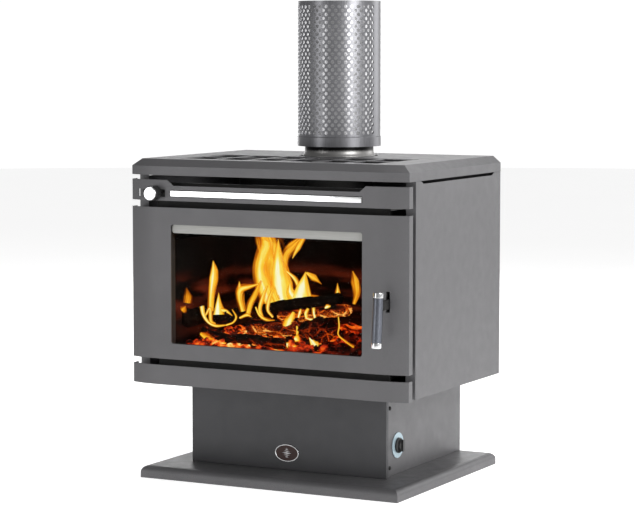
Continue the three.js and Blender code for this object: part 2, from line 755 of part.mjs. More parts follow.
function buildDoor() {
  const door = assembly(stove);
  const latchSlot = block([latchX - latchSlotWidth / 2, latchX + latchSlotWidth / 2],
    [frontFace - 5, frontFace + frontSetback], [latchZ - latchSlotBelow, latchZ + latchSlotAbove]);
  const windowShape = rectangle([-windowHalf, windowHalf], [windowBottom, windowTop], windowCorner);
  const innerHalf = windowHalf + innerFrameMargin;
  const innerFront = skinBack(innerHalf) + gap;
  const innerBack = innerFront + innerFrameDepth;
  const panel = frontPanel([doorBottom, doorTop]);
  const windowCut = prismY(windowShape, [frontFace - 5, innerBack]);
  piece(door, 'door_panel', cut(panel, windowCut, latchSlot), charcoal());

  const frameShape = rectangle([-innerHalf, innerHalf],
    [windowBottom - innerFrameMarginHigh, windowTop + innerFrameMarginHigh]);
  frameShape.holes.push(windowShape);
  piece(door, 'door_inner_frame', prismY(frameShape, [innerFront, innerBack]), darkPaint());

  const glassFront = innerBack + gap;
  const glassBack = glassFront + glassThickness;
  piece(door, 'door_glass', block([-windowHalf - glassOverlap, windowHalf + glassOverlap],
    [glassFront, glassBack], [windowBottom - glassOverlap, windowTop + glassOverlap]),
  metal(0x0c0a0a, 0.05, 0));
  const stripShape = rectangle([-windowHalf + gap, windowHalf - gap],
    [windowTop - topStripHeight, windowTop - gap], windowCorner);
  const stripY = [glassFront - gap - topStripThickness, glassFront - gap];
  piece(door, 'glass_top_strip', prismY(stripShape, stripY), brushedSteel());

  const [retainerWidth, retainerDepth] = retainerSection;
  const retainerX = windowHalf + retainerFromWindow;
  const retainerY = [glassBack + gap, glassBack + gap + retainerDepth];
  const retainerZ = [windowBottom + retainerShort, windowTop - retainerShort];
  for (const [label, side] of mirrored) {
    const retainer = block(sideSpan(side, retainerX, retainerX + retainerWidth), retainerY, retainerZ);
    piece(door, `glass_retainer_${label}`, retainer, blackSteel());
  }

  const sealAround = (inset) => rectangle(
    [-windowHalf - sealFromWindow - inset, windowHalf + sealFromWindow + inset],
    [windowBottom - sealFromWindowHigh - inset, windowTop + sealFromWindowHigh + inset]);
  const seal = sealAround(sealWidth);
  seal.holes.push(sealAround(0));
  const sealY = [glassBack + gap, frameFront - gap];
  piece(door, 'door_rope_seal', prismY(seal, sealY), metal(0xc9c4b8, 0.95, 0));

  for (const [label, level] of hingeLevels) {
    const leafEnd = -innerHalf - gap;
    const leafStart = hingeAxisX + 2;
    const leafFront = skinBack(leafStart) + gap;
    const leaf = block([leafStart, leafEnd], [leafFront, hingeAxisY - 4], [level, level + knuckleLength]);
    const barrel = rod(knuckleRadius, [level, level + knuckleLength]).translate(hingeAxisX, hingeAxisY, 0);
    const bore = rod(hingePinRadius + runningGap, [level - 1, level + knuckleLength + 1])
      .translate(hingeAxisX, hingeAxisY, 0);
    piece(door, `hinge_knuckle_${label}`, cut(join(barrel, leaf), bore), blackSteel());

    const armZ = [level - gap - hingeArmThickness, level - gap];
    const armPlan = polygon([
      [hingeAxisX, hingeAxisY - 5], [-frameHalf + 8, hingeAxisY - 1], [-frameHalf + 8, frameFront - gap],
      [-frameHalf - 4, frameFront - gap], [-frameHalf - 6, hingeAxisY + 7], [hingeAxisX, hingeAxisY + 5],
    ]);
    const eye = rod(knuckleRadius, armZ).translate(hingeAxisX, hingeAxisY, 0);
    const pin = rod(hingePinRadius, [armZ[0] + 1, level + knuckleLength - 3])
      .translate(hingeAxisX, hingeAxisY, 0);
    piece(stove, `hinge_bracket_${label}`, join(prismZ(armPlan, armZ), eye, pin), blackSteel());
  }
}

// ------------------------------------------------------------------ latch

function buildLatch() {
  const group = assembly(stove, latchX, latchY, latchZ);
  const armHalf = latchArmThickness / 2;
  const armRise = latchArmHeight / 2;
  const gripY = frontFace - handleStandOff - latchY;
  const armFront = gripY + handleRadius + 0.6;

  const ear = [latchSlotWidth / 2 + 0.6, latchSlotWidth / 2 + 3.6];
  const footHalf = ear[1] + 4;
  const footFront = skinBack(latchX + footHalf) + gap - latchY;
  const footZ = [-latchSlotBelow - 6, latchSlotAbove + 6];
  const foot = block([-footHalf, footHalf], [footFront, footFront + 3], footZ);
  const footSlot = block([-latchSlotWidth / 2, latchSlotWidth / 2], [footFront - 5, footFront + 8],
    [-latchSlotBelow, latchSlotAbove]);
  const earPieces = [-1, 1].map((side) =>
    block(sideSpan(side, ear[0], ear[1]), [footFront + 1, 7], [-9, 9]));
  const bracketBore = alongX(rod(latchPinRadius + runningGap, [-footHalf, footHalf]));
  piece(group, 'latch_bracket', cut(join(foot, ...earPieces), footSlot, bracketBore), blackSteel());
  piece(group, 'latch_pivot_pin', alongX(rod(latchPinRadius, [-ear[1] - 1, ear[1] + 1])), brushedSteel());

  const noseEnd = 26;
  const armShape = polygon([
    [armFront, -armRise], [-4, -armRise], [8, -6], [noseEnd - 8, 0], [noseEnd, 1],
    [noseEnd, 10], [noseEnd - 8, 10], [8, 7], [-4, armRise], [armFront, armRise],
  ]);
  const pivotBore = alongX(rod(latchPinRadius + runningGap, [-armHalf - 1, armHalf + 1]));
  piece(group, 'latch_arm', cut(prismX(armShape, [-armHalf, armHalf]), pivotBore), blackSteel());

  const grip = assembly(group, 0, gripY, 0);
  grip.rotation.x = THREE.MathUtils.degToRad(-handleTilt);
  const gripTop = latchArmHeight / 2 + 21;
  const gripBottom = gripTop - handleLength;
  const bodyZ = [gripBottom + ferruleLength + gap, gripTop - ferruleLength - gap];
  piece(grip, 'handle_grip', rod(handleRadius - 0.6, bodyZ, 32), brushedSteel());
  const ferrule = turned([
    [0, 0], [handleRadius, 0], [handleRadius, ferruleLength - 3],
    [handleRadius - 1, ferruleLength - 0.8], [handleRadius - 3, ferruleLength], [0, ferruleLength],
  ], { sides: 32 });
  piece(grip, 'handle_ferrule_top', ferrule, chrome()).position.z = gripTop - ferruleLength;
  const lowerFerrule = piece(grip, 'handle_ferrule_bottom', ferrule.clone(), chrome());
  lowerFerrule.position.z = gripBottom + ferruleLength;
  lowerFerrule.rotation.x = Math.PI;

  const keeperX = [frameHalf + gap, latchX + 9];
  const keeperY = [frameFront + 1, latchY + noseEnd + 6];
  const keeperTop = latchZ + 19;
  const keeper = join(
    block(keeperX, keeperY, [keeperTop - 4, keeperTop]),
    block(keeperX, [keeperY[1] - 3, keeperY[1]], [latchZ - 6, keeperTop]));
  piece(stove, 'door_keeper', keeper, blackSteel());
}

// ------------------------------------------------------------------ air control

function buildAirControl(trimZ) {
  const knobX = -halfWidth + airKnobFromSide;
  const group = assembly(stove, knobX, 0, trimZ);
  const bodyBack = frontFace - trimBarProud - 1.5;
  const capBack = frontFace - 22;
  const capFront = frontFace - 28;
  const plateZ = [-14, 14];
  const plateY = [frameFront - 5, frameFront - 1.5];
  const stemEnd = plateY[0] - gap;
  // Lengths along the stem run towards the front.
  const body = turned([
    [0, -stemEnd], [airStemRadius, -stemEnd], [airStemRadius, -bodyBack], [airKnobBodyRadius, -bodyBack],
    [airKnobBodyRadius, -capBack - gap], [0, -capBack - gap],
  ], { sides: 32 }).rotateX(Math.PI / 2);
  piece(group, 'air_knob_body', body, blackPlastic());
  const cap = turned([
    [0, -capBack], [airKnobCapRadius, -capBack], [airKnobCapRadius, -capFront - 2],
    [airKnobCapRadius - 1.5, -capFront], [0, -capFront],
  ], { sides: 32 }).rotateX(Math.PI / 2);
  piece(group, 'air_knob_cap', cap, chrome());
  piece(group, 'air_slide_plate', block([-8, 92], plateY, plateZ), blackSteel());
}

// ------------------------------------------------------------------ assembly

const trimZ = controlBottom + 17.8;
const blower = buildFan(buildPedestal());
buildCasing(trimZ, blower);
buildFlue(buildFirebox(trimZ));
buildDoor();
buildLatch();
buildAirControl(trimZ);

stove.updateMatrixWorld(true);
const bounds = new THREE.Box3().setFromObject(stove, true);
stove.position.y = -(bounds.min.y + bounds.max.y) / 2;

export default stove;
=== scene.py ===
"""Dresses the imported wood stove: paint, metal and glass on the CAD parts, a perforated guard
round the flue, a badge, and the fire behind the window.

Metres, in the row frame: +Z up, -Y to the front, the floor at Z = 0.
"""
import json
import math
import random

import bmesh
import bpy
from mathutils import Matrix, Vector, noise


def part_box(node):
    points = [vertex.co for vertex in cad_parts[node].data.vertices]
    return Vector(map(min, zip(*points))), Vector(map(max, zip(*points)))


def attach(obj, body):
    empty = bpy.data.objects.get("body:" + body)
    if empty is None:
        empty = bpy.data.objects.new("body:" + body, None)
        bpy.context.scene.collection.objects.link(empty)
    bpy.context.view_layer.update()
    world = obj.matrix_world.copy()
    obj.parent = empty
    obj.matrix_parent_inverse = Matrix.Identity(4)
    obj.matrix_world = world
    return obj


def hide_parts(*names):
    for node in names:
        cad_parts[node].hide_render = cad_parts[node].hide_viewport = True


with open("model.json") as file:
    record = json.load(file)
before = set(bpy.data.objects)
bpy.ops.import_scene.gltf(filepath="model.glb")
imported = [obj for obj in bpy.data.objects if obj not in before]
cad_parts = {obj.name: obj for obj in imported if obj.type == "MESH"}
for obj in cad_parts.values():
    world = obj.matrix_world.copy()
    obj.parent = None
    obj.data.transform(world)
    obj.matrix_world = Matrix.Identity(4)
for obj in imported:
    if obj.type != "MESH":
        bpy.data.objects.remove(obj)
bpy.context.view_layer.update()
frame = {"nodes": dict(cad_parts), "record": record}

MM = 0.001
SEED = 11
WHITE = (1, 1, 1)
BLACK = (0, 0, 0)

# ------------------------------------------------------------------ camera

CAMERA_PLACE = Vector((2.56096, -4.86278, 1.02793))
CAMERA_TURN = math.radians(27.69)  # to the right of straight ahead
CAMERA_DIP = math.radians(5.18)
CAMERA_LENS = 130.85
CAMERA_SENSOR = 36

camera = bpy.data.objects.new("camera", bpy.data.cameras.new("camera"))
bpy.context.scene.collection.objects.link(camera)
camera.location = CAMERA_PLACE
camera.rotation_euler = (math.pi / 2 - CAMERA_DIP, 0, CAMERA_TURN)
camera.data.lens = CAMERA_LENS
camera.data.sensor_width = CAMERA_SENSOR
bpy.context.scene.camera = camera

# ------------------------------------------------------------------ materials


class Surface:
    """A Principled material, with short calls for the nodes that feed it."""

    def __init__(self, name, **constants):
        self.material = bpy.data.materials.new(name)
        self.material.use_nodes = True
        self.tree = self.material.node_tree
        self.shader = self.tree.nodes["Principled BSDF"]
        self.place = self.add("ShaderNodeTexCoord").outputs["Object"]
        for socket, value in constants.items():
            self.shader.inputs[socket.replace("_", " ")].default_value = value

    def add(self, kind, inputs=None, **settings):
        node = self.tree.nodes.new(kind)
        for key, value in settings.items():
            setattr(node, key, value)
        for socket, value in (inputs or {}).items():
            if isinstance(value, bpy.types.NodeSocket):
                self.tree.links.new(value, node.inputs[socket])
            else:
                node.inputs[socket].default_value = value
        return node

    def feed(self, socket, value):
        self.tree.links.new(value, self.shader.inputs[socket])

    def scaled(self, stretch, place=None):
        inputs = {"Vector": place or self.place, "Scale": stretch}
        return self.add("ShaderNodeMapping", inputs).outputs["Vector"]

    def noise(self, scale, detail=2.0, stretch=(1, 1, 1), place=None):
        inputs = {"Vector": self.scaled(stretch, place), "Scale": scale, "Detail": detail}
        return self.add("ShaderNodeTexNoise", inputs).outputs["Fac"]

    def cells(self, scale, feature="F1", output="Distance", stretch=(1, 1, 1), place=None):
        inputs = {"Vector": self.scaled(stretch, place), "Scale": scale}
        return self.add("ShaderNodeTexVoronoi", inputs, feature=feature).outputs[output]

    def ramp(self, factor, *stops):
        """A colour ramp; stops may lie past one, and are then scaled back into it."""
        top = max(1.0, stops[-1][0])
        if top > 1:
            factor = self.math("DIVIDE", factor, top)
            stops = [(position / top, colour) for position, colour in stops]
        node = self.add("ShaderNodeValToRGB", {"Fac": factor})
        elements = node.color_ramp.elements
        elements[0].position, elements[1].position = stops[0][0], stops[-1][0]
        elements[0].color, elements[1].color = (*stops[0][1], 1), (*stops[-1][1], 1)
        for position, colour in stops[1:-1]:
            elements.new(position).color = (*colour, 1)
        return node.outputs["Color"]

    def span(self, value, low, high, to_low=0.0, to_high=1.0):
        inputs = {0: value, 1: low, 2: high, 3: to_low, 4: to_high}
        return self.add("ShaderNodeMapRange", inputs).outputs[0]

    def smooth(self, value, low, high):
        node = self.add("ShaderNodeMapRange", {0: value, 1: low, 2: high},
                        interpolation_type="SMOOTHSTEP")
        return node.outputs[0]

    def math(self, operation, first, second=0.0):
        return self.add("ShaderNodeMath", {0: first, 1: second}, operation=operation).outputs[0]

    def mix(self, factor, first, second, blend="MIX"):
        node = self.add("ShaderNodeMix", data_type="RGBA", blend_type=blend)
        for socket, value in ((0, factor), (6, first), (7, second)):
            if isinstance(value, bpy.types.NodeSocket):
                self.tree.links.new(value, node.inputs[socket])
            elif socket:
                node.inputs[socket].default_value = (*value, 1)
            else:
                node.inputs[socket].default_value = value
        return node.outputs[2]

    def bump(self, height, strength, depth):
        inputs = {"Height": height, "Strength": strength, "Distance": depth}
        self.feed("Normal", self.add("ShaderNodeBump", inputs).outputs["Normal"])

    def attribute(self, name, output="Fac"):
        return self.add("ShaderNodeAttribute", attribute_name=name).outputs[output]

    def height(self):
        return self.add("ShaderNodeSeparateXYZ", {0: self.place}).outputs["Z"]

    def flipped(self, value):
        return self.math("SUBTRACT", 1.0, value)

    def shine(self, colour):
        """Gives off `colour` without being sampled as a lamp, which would only add noise."""
        self.feed("Emission Color", colour)
        self.shader.inputs["Emission Strength"].default_value = 1.0
        self.material.cycles.emission_sampling = "NONE"


def grey(level, warmth=0.0):
    return (level * (1 + warmth), level, level * (1 - warmth))


def tinted(colour, factor):
    return tuple(channel * factor for channel in colour)


def satin_paint(name, tone, gloss=0.42, flake=0.3):
    """Heat-proof metallic paint: fine flake, soft cloudiness and a slight orange peel."""
    surface = Surface(name, Metallic=0.35)
    sparkle = surface.noise(2400, 1)
    cloud = surface.noise(7, 4)
    base = surface.ramp(sparkle, (0.3, tinted(tone, 1 - flake)), (0.7, tinted(tone, 1 + flake)))
    shade = surface.ramp(cloud, (0.3, grey(0.93)), (0.7, grey(1.0)))
    surface.feed("Base Color", surface.mix(1.0, base, shade, "MULTIPLY"))
    worn = surface.noise(38, 5)
    surface.feed("Roughness", surface.span(worn, 0.25, 0.75, gloss - 0.05, gloss + 0.07))
    surface.bump(surface.noise(620, 2), 0.10, 0.15 * MM)
    return surface.material


def black_coating():
    surface = Surface("black_steel_finish", Metallic=0.1)
    dust = surface.noise(45, 5)
    surface.feed("Base Color", surface.ramp(dust, (0.35, grey(0.010)), (0.75, grey(0.026, 0.05))))
    surface.feed("Roughness", surface.span(dust, 0.2, 0.8, 0.55, 0.75))
    surface.bump(surface.noise(900, 2), 0.2, 0.2 * MM)
    return surface.material


def cast_surface():
    surface = Surface("cast_iron_finish", Metallic=0.25)
    grain = surface.noise(420, 4)
    surface.feed("Base Color", surface.ramp(grain, (0.3, grey(0.018)), (0.8, grey(0.055, 0.06))))
    surface.feed("Roughness", surface.span(grain, 0.2, 0.8, 0.5, 0.75))
    surface.bump(grain, 0.5, 0.4 * MM)
    return surface.material


def brushed(name, tone, gloss, grain, depth=0.04):
    """Brushed or rolled steel. The grain runs along the axis whose stretch is smallest."""
    surface = Surface(name, Metallic=1.0)
    lines = surface.noise(900, 3, grain)
    cloud = surface.noise(16, 3)
    base = surface.ramp(lines, (0.25, tinted(tone, 0.82)), (0.75, tinted(tone, 1.12)))
    shade = surface.ramp(cloud, (0.3, grey(0.92)), (0.7, grey(1.0)))
    surface.feed("Base Color", surface.mix(1.0, base, shade, "MULTIPLY"))
    surface.feed("Roughness", surface.span(lines, 0.2, 0.8, gloss - 0.06, gloss + 0.1))
    surface.bump(lines, depth, 0.1 * MM)
    return surface.material


def polished_chrome():
    surface = Surface("chrome_finish", Metallic=1.0)
    smear = surface.noise(30, 4)
    surface.feed("Base Color", surface.ramp(smear, (0.3, (0.86, 0.87, 0.88)), (0.7, grey(0.93))))
    surface.feed("Roughness", surface.span(smear, 0.3, 0.8, 0.06, 0.16))
    return surface.material


def zinc_plate():
    surface = Surface("zinc_finish", Metallic=1.0)
    spangle = surface.cells(90, output="Color")
    tone = surface.add("ShaderNodeSeparateColor", {0: spangle}).outputs[0]
    surface.feed("Base Color", surface.ramp(tone, (0.0, grey(0.36)), (1.0, grey(0.5, -0.02))))
    surface.feed("Roughness", surface.span(tone, 0, 1, 0.32, 0.48))
    return surface.material


def sooty_stone(name, clean, soot):
    """Refractory with pores, black with soot, and lit with painted firelight: a dull red glow in
    patches above the fire.
    """
    surface = Surface(name, Specular_IOR_Level=0.1)
    patches = surface.noise(9, 6)
    pores = surface.noise(260, 4)
    stain = surface.ramp(patches, (0.42, grey(0.0012)), (0.70, tinted(clean, 1 - soot)))
    fleck = surface.ramp(pores, (0.35, grey(0.55)), (0.6, grey(1.0)))
    surface.feed("Base Color", surface.mix(1.0, stain, fleck, "MULTIPLY"))
    surface.feed("Roughness", surface.span(pores, 0.2, 0.8, 0.85, 1.0))
    surface.bump(pores, 0.6, 1.2 * MM)
    # painted firelight: the bricks give off a dull red glow in patches above the fire
    starts, full, ends = BRICK_FIRELIGHT_HEIGHTS
    height = surface.height()
    rise = surface.smooth(height, starts, full)
    fall = surface.flipped(surface.smooth(height, full, ends))
    courses = surface.smooth(surface.noise(14, 4, (0.5, 0.5, 2.4)), 0.40, 0.72)
    heat = surface.math("MULTIPLY", surface.math("MULTIPLY", rise, fall), courses)
    surface.shine(surface.ramp(heat, (0.0, BLACK), (0.9, (0.10, 0.012, 0.004))))
    return surface.material


def ceramic_glass():
    """Clear window with a faint, patchy film of smoke and little reflection."""
    surface = Surface("window_glass_finish", Alpha=0.03, IOR=1.5, Specular_IOR_Level=0.12)
    haze = surface.noise(11, 4)
    film = surface.ramp(haze, (0.35, (0.004, 0.003, 0.002)), (0.75, (0.02, 0.014, 0.01)))
    surface.feed("Base Color", film)
    surface.feed("Roughness", surface.span(haze, 0.3, 0.8, 0.03, 0.09))
    return surface.material


def woven_rope():
    surface = Surface("seal_rope_finish", Sheen_Weight=0.2)
    weave = surface.cells(420, feature="DISTANCE_TO_EDGE")
    fibre = surface.ramp(weave, (0.0, (0.2, 0.19, 0.16)), (0.35, (0.56, 0.54, 0.48)))
    surface.feed("Base Color", fibre)
    surface.feed("Roughness", surface.span(weave, 0, 0.5, 1.0, 0.85))
    surface.bump(weave, 0.8, 0.8 * MM)
    return surface.material


def moulded_plastic():
    surface = Surface("black_plastic_finish")
    grain = surface.noise(1500, 2)
    surface.feed("Base Color", surface.ramp(grain, (0.3, grey(0.014)), (0.7, grey(0.026))))
    surface.feed("Roughness", surface.span(grain, 0.2, 0.8, 0.3, 0.42))
    surface.bump(grain, 0.12, 0.08 * MM)
    return surface.material


def dial_enamel():
    """Pale blue-grey plate."""
    surface = Surface("dial_face_finish", Metallic=0.2)
    grain = surface.noise(700, 2)
    plate = surface.ramp(grain, (0.3, (0.36, 0.47, 0.53)), (0.7, (0.44, 0.56, 0.62)))
    surface.feed("Base Color", plate)
    surface.feed("Roughness", surface.span(grain, 0.2, 0.8, 0.3, 0.45))
    return surface.material


def strip_finish():
    """Pale satin plate along the top of the window, with a soft rolled grain."""
    surface = Surface("glass_strip_finish", Metallic=0.25)
    grain = surface.noise(500, 2, (0.05, 1, 1))
    plate = surface.ramp(grain, (0.3, (0.36, 0.36, 0.345)), (0.7, (0.42, 0.42, 0.40)))
    surface.feed("Base Color", plate)
    surface.feed("Roughness", surface.span(grain, 0.2, 0.8, 0.45, 0.6))
    return surface.material


def collar_finish():
    """Rolled steel, with a painted shadow: a black band under its top, where the guard's foot shades
    it.
    """
    surface = Surface("flue_collar_finish", Metallic=1.0)
    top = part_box("flue_collar")[1].z
    grain = surface.noise(300, 3)
    ragged = surface.math("ADD", surface.height(), surface.math("MULTIPLY", grain, 4 * MM))
    # painted shadow: clean is 0 in the black band under the collar's top and 1 where the steel is lit
    clean = surface.flipped(surface.smooth(ragged, top - COLLAR_SHADOW_GONE, top - COLLAR_SHADOW_FADES))
    surface.feed("Base Color", surface.ramp(clean, (0.0, grey(0.008)), (1.0, grey(0.34, 0.02))))
    surface.feed("Roughness", surface.span(grain, 0.2, 0.8, 0.3, 0.5))
    return surface.material


def badge_field():
    surface = Surface("badge_field_finish", Metallic=0.3)
    grain = surface.noise(1800, 2)
    enamel = surface.ramp(grain, (0.3, (0.025, 0.012, 0.010)), (0.7, (0.05, 0.02, 0.016)))
    surface.feed("Base Color", enamel)
    surface.feed("Roughness", surface.span(grain, 0.2, 0.8, 0.35, 0.5))
    return surface.material


BRICK_FIRELIGHT_HEIGHTS = (0.30, 0.44, 0.50)  # heights where the painted firelight starts, is full and has gone
COLLAR_SHADOW_FADES = 17 * MM  # under the collar's top, where the painted shadow begins to fade
COLLAR_SHADOW_GONE = 24 * MM  # and where the painted shadow has gone
GRAIN_UPRIGHT = (1, 1, 0.03)
GRAIN_ROUND = (0.04, 0.04, 1)
CHARCOAL = (0.125, 0.123, 0.128)
# the charcoal paint at half its brightness: painted shade on the pedestal under the cabinet's
# overhang
PEDESTAL_PAINTED_SHADE = (0.062, 0.062, 0.066)

finishes = {
    "charcoal_paint": satin_paint("charcoal_finish", CHARCOAL),
    # the pedestal's slot: the same charcoal paint, darkened as painted shade
    "dark_paint": satin_paint("charcoal_painted_shade_finish", PEDESTAL_PAINTED_SHADE, 0.46),
    "black_steel": black_coating(),
    "cast_iron": cast_surface(),
    "chrome_trim": polished_chrome(),
    "flue_steel": brushed("flue_steel_finish", (0.26, 0.26, 0.275), 0.34, GRAIN_UPRIGHT),
    "bright_steel": brushed("bright_steel_finish", (0.62, 0.63, 0.64), 0.24, GRAIN_ROUND),
    "zinc_steel": zinc_plate(),
    "firebrick": sooty_stone("firebrick_finish", (0.010, 0.004, 0.003), 0.3),
    "vermiculite": sooty_stone("vermiculite_finish", (0.010, 0.008, 0.006), 0.5),
    "window_glass": ceramic_glass(),
    "seal_rope": woven_rope(),
    "black_plastic": moulded_plastic(),
    "dial_face": dial_enamel(),
    "badge_metal": brushed("badge_metal_finish", (0.66, 0.66, 0.67), 0.16, (0.1, 1, 1)),
}

# parts that look unlike the rest of their slot
own_finishes = {
    "glass_top_strip": strip_finish(),
    "flue_collar": collar_finish(),
    "door_inner_frame": finishes["black_steel"],
    "handle_grip": brushed("handle_grip_finish", (0.17, 0.18, 0.21), 0.30, (1, 1, 0.2), 0.004),
    "flue_pipe": brushed("flue_pipe_finish", (0.42, 0.42, 0.43), 0.27, GRAIN_ROUND),
}

# ------------------------------------------------------------------ the CAD parts

EDGE_ROUND = 0.9 * MM
EDGE_SHARE = 0.16  # of a part's least measure, on small parts
EDGE_ANGLE = math.radians(34)
FLAT_ANGLE = math.radians(0.4)
WELD_REACH = 0.01 * MM
UNBEVELLED = {"top_grille", "blower_wheel", "flue_guard", "badge"}


def finish_part(node, slot):
    """Gives a CAD part its material, clean shading and, if it can take them, rounded edges."""
    part = frame["nodes"][node]
    part.data.materials.clear()
    part.data.materials.append(own_finishes.get(node, finishes[slot]))
    custom = part.data.attributes.get("custom_normal")
    if custom:
        part.data.attributes.remove(custom)
    part.data.shade_smooth()
    weld = part.modifiers.new("weld", "WELD")
    weld.merge_threshold = WELD_REACH
    flat = part.modifiers.new("flat", "DECIMATE")
    flat.decimate_type = "DISSOLVE"
    flat.angle_limit = FLAT_ANGLE
    if node not in UNBEVELLED:
        low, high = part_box(node)
        bevel = part.modifiers.new("edges", "BEVEL")
        bevel.width = min(EDGE_ROUND, EDGE_SHARE * min(high - low))
        bevel.segments = 2
        bevel.limit_method = "ANGLE"
        bevel.angle_limit = EDGE_ANGLE
    else:
        split = part.modifiers.new("split", "EDGE_SPLIT")
        split.split_angle = EDGE_ANGLE
    normals = part.modifiers.new("normals", "WEIGHTED_NORMAL")
    normals.keep_sharp = True


for subpart in frame["record"]["subparts"]:
    finish_part(subpart["node"], subpart["material_slot"])


def new_piece(name, mesh, body, material, stands_for=()):
    piece = bpy.data.objects.new(name, mesh)
    bpy.context.scene.collection.objects.link(piece)
    mesh.materials.append(material)
    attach(piece, body)
    if stands_for:
        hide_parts(*stands_for)
    return piece


def skin(shape, rings):
    """Joins rings of vertices into a closed surface, with one face at each end."""
    count = len(rings[0])
    for lower, upper in zip(rings, rings[1:]):
        for i in range(count):
            j = (i + 1) % count
            shape.faces.new((lower[i], lower[j], upper[j], upper[i]))
    shape.faces.new(rings[0])
    shape.faces.new(reversed(rings[-1]))


def mesh_of(shape, name, sharp_angle=None, recalculate=True):
    """Ends the bmesh and returns its mesh, smooth, with edges past `sharp_angle` marked sharp."""
    if recalculate:
        bmesh.ops.recalc_face_normals(shape, faces=shape.faces)
    mesh = bpy.data.meshes.new(name)
    shape.to_mesh(mesh)
    shape.free()
    mesh.shade_smooth()
    if sharp_angle:
        mesh.set_sharp_from_angle(angle=sharp_angle)
    return mesh


def apply_modifiers(piece):
    """Turns the piece's modifiers into mesh, and marks the edges that they made sharp."""
    shown = piece.evaluated_get(bpy.context.evaluated_depsgraph_get())
    piece.data = bpy.data.meshes.new_from_object(shown)
    piece.modifiers.clear()
    piece.data.set_sharp_from_angle(angle=EDGE_ANGLE)


# ------------------------------------------------------------------ perforated flue guard

GUARD_COLUMNS = 80  # every other one is shifted by half a row
GUARD_ROW = 18.6 * MM  # rounded to fill the height
GUARD_HOLE = 4.5 * MM  # radius
GUARD_SHEET = 1.2 * MM
GUARD_FOOT = 24 * MM  # plain band
GUARD_FOOT_PROUD = 1.3 * MM
GUARD_FOOT_SLOPE = 1.5 * MM
GUARD_RIM = 5 * MM
KEY_SHARE = 20  # steps per mm when vertices are matched by height
DIAMOND = ((1, 0), (0.5, 0.5), (0, 1), (-0.5, 0.5), (-1, 0), (-0.5, -0.5), (0, -1), (0.5, -0.5))
HALF_DIAMOND = ((-1, 0), (0, 0), (1, 0), (0.5, 0.5), (0, 1), (-0.5, 0.5))
GUARD_SEAM = (-5, 22)  # degrees from +X, where the sheet's plain ends overlap


def build_guard():
    """The guard as a thin sheet of staggered cells round the pipe, each with a round hole."""
    low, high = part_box("flue_guard")
    centre = (low + high) / 2
    radius = (high.x - low.x) / 2
    step = math.tau / GUARD_COLUMNS
    first = low.z + GUARD_FOOT
    rows = int((high.z - GUARD_RIM - first) / GUARD_ROW)
    row_height = (high.z - GUARD_RIM - first) / rows

    def place(angle, z, proud=0.0):
        r = radius + proud
        return Vector((centre.x + r * math.cos(angle), centre.y + r * math.sin(angle), z))

    def build(shape):
        known = {}

        def vertex(angle, z, proud=0.0):
            key = (round(angle / step * 2) % (2 * GUARD_COLUMNS), round(z / MM * KEY_SHARE))
            if key not in known:
                known[key] = shape.verts.new(place(angle, z, proud))
            return known[key]

        def outline(angle, z, points, way=1):
            up = way * row_height / 2
            return [vertex(angle + step * u, z + up * v) for u, v in points]

        def diamond(angle, middle, holed):
            """One cell of the staggered pattern, with its hole or plain."""
            ring = outline(angle, middle, DIAMOND)
            count = len(ring)
            if not holed:
                centre_vertex = vertex(angle, middle)
                for i in range(count):
                    shape.faces.new((ring[i], ring[(i + 1) % count], centre_vertex))
                return
            hole = []
            for i in range(count):
                turn = math.tau * i / count
                across = GUARD_HOLE * math.cos(turn) / radius
                up = GUARD_HOLE * math.sin(turn)
                hole.append(shape.verts.new(place(angle + across, middle + up)))
            for i in range(count):
                j = (i + 1) % count
                shape.faces.new((ring[i], ring[j], hole[j], hole[i]))

        def band(angle, levels):
            """Plain strips between (z, how far it stands proud) levels, one column wide."""
            for upper, lower in zip(levels, levels[1:]):
                shape.faces.new((vertex(angle, *lower), vertex(angle + step, *lower),
                                 vertex(angle + step, *upper), vertex(angle, *upper)))

        seam = [math.radians(limit) for limit in GUARD_SEAM]
        last = first + rows * row_height
        foot = [(first, 0), (first - GUARD_FOOT_SLOPE, GUARD_FOOT_PROUD), (low.z, GUARD_FOOT_PROUD)]
        for column in range(GUARD_COLUMNS):
            angle = column * step
            holed = (angle - seam[0]) % math.tau > seam[1] - seam[0]
            if column % 2:
                shape.faces.new(outline(angle, first, HALF_DIAMOND))
                shape.faces.new(outline(angle, last, HALF_DIAMOND, -1))
                middles = [first + row_height * k for k in range(1, rows)]
            else:
                middles = [first + row_height * (k + 0.5) for k in range(rows)]
            for middle in middles:
                diamond(angle, middle, holed)
            band(angle, [(high.z, 0), (last, 0)])
            band(angle, foot)

    shape = bmesh.new()
    build(shape)
    mesh = mesh_of(shape, "perforated_guard", EDGE_ANGLE)
    mesh.update()
    guard = new_piece("perforated_guard", mesh, "stove", finishes["flue_steel"],
                      ["flue_guard"])
    sheet = guard.modifiers.new("sheet", "SOLIDIFY")
    sheet.thickness = GUARD_SHEET
    sheet.offset = -1
    apply_modifiers(guard)
    guard.visible_shadow = False  # the pipe behind the holes catches the lights
    guard.visible_glossy = False


build_guard()

# ------------------------------------------------------------------ badge

BADGE_RIM = 2.2 * MM
BADGE_EDGE = 0.5 * MM  # chamfer round the rim
BADGE_SUNK = 0.8 * MM  # the field, behind the front
BADGE_STEPS = 64
BAR_LONG = 0.62  # of the badge's half width, and shorter above and below
BAR_APART = 4.6 * MM


def oval(half_wide, half_high, y, centre):
    turns = [math.tau * i / BADGE_STEPS for i in range(BADGE_STEPS)]
    return [centre + Vector((half_wide * math.cos(t), y, half_high * math.sin(t))) for t in turns]


def skin_points(shape, rings):
    skin(shape, [[shape.verts.new(point) for point in ring] for ring in rings])


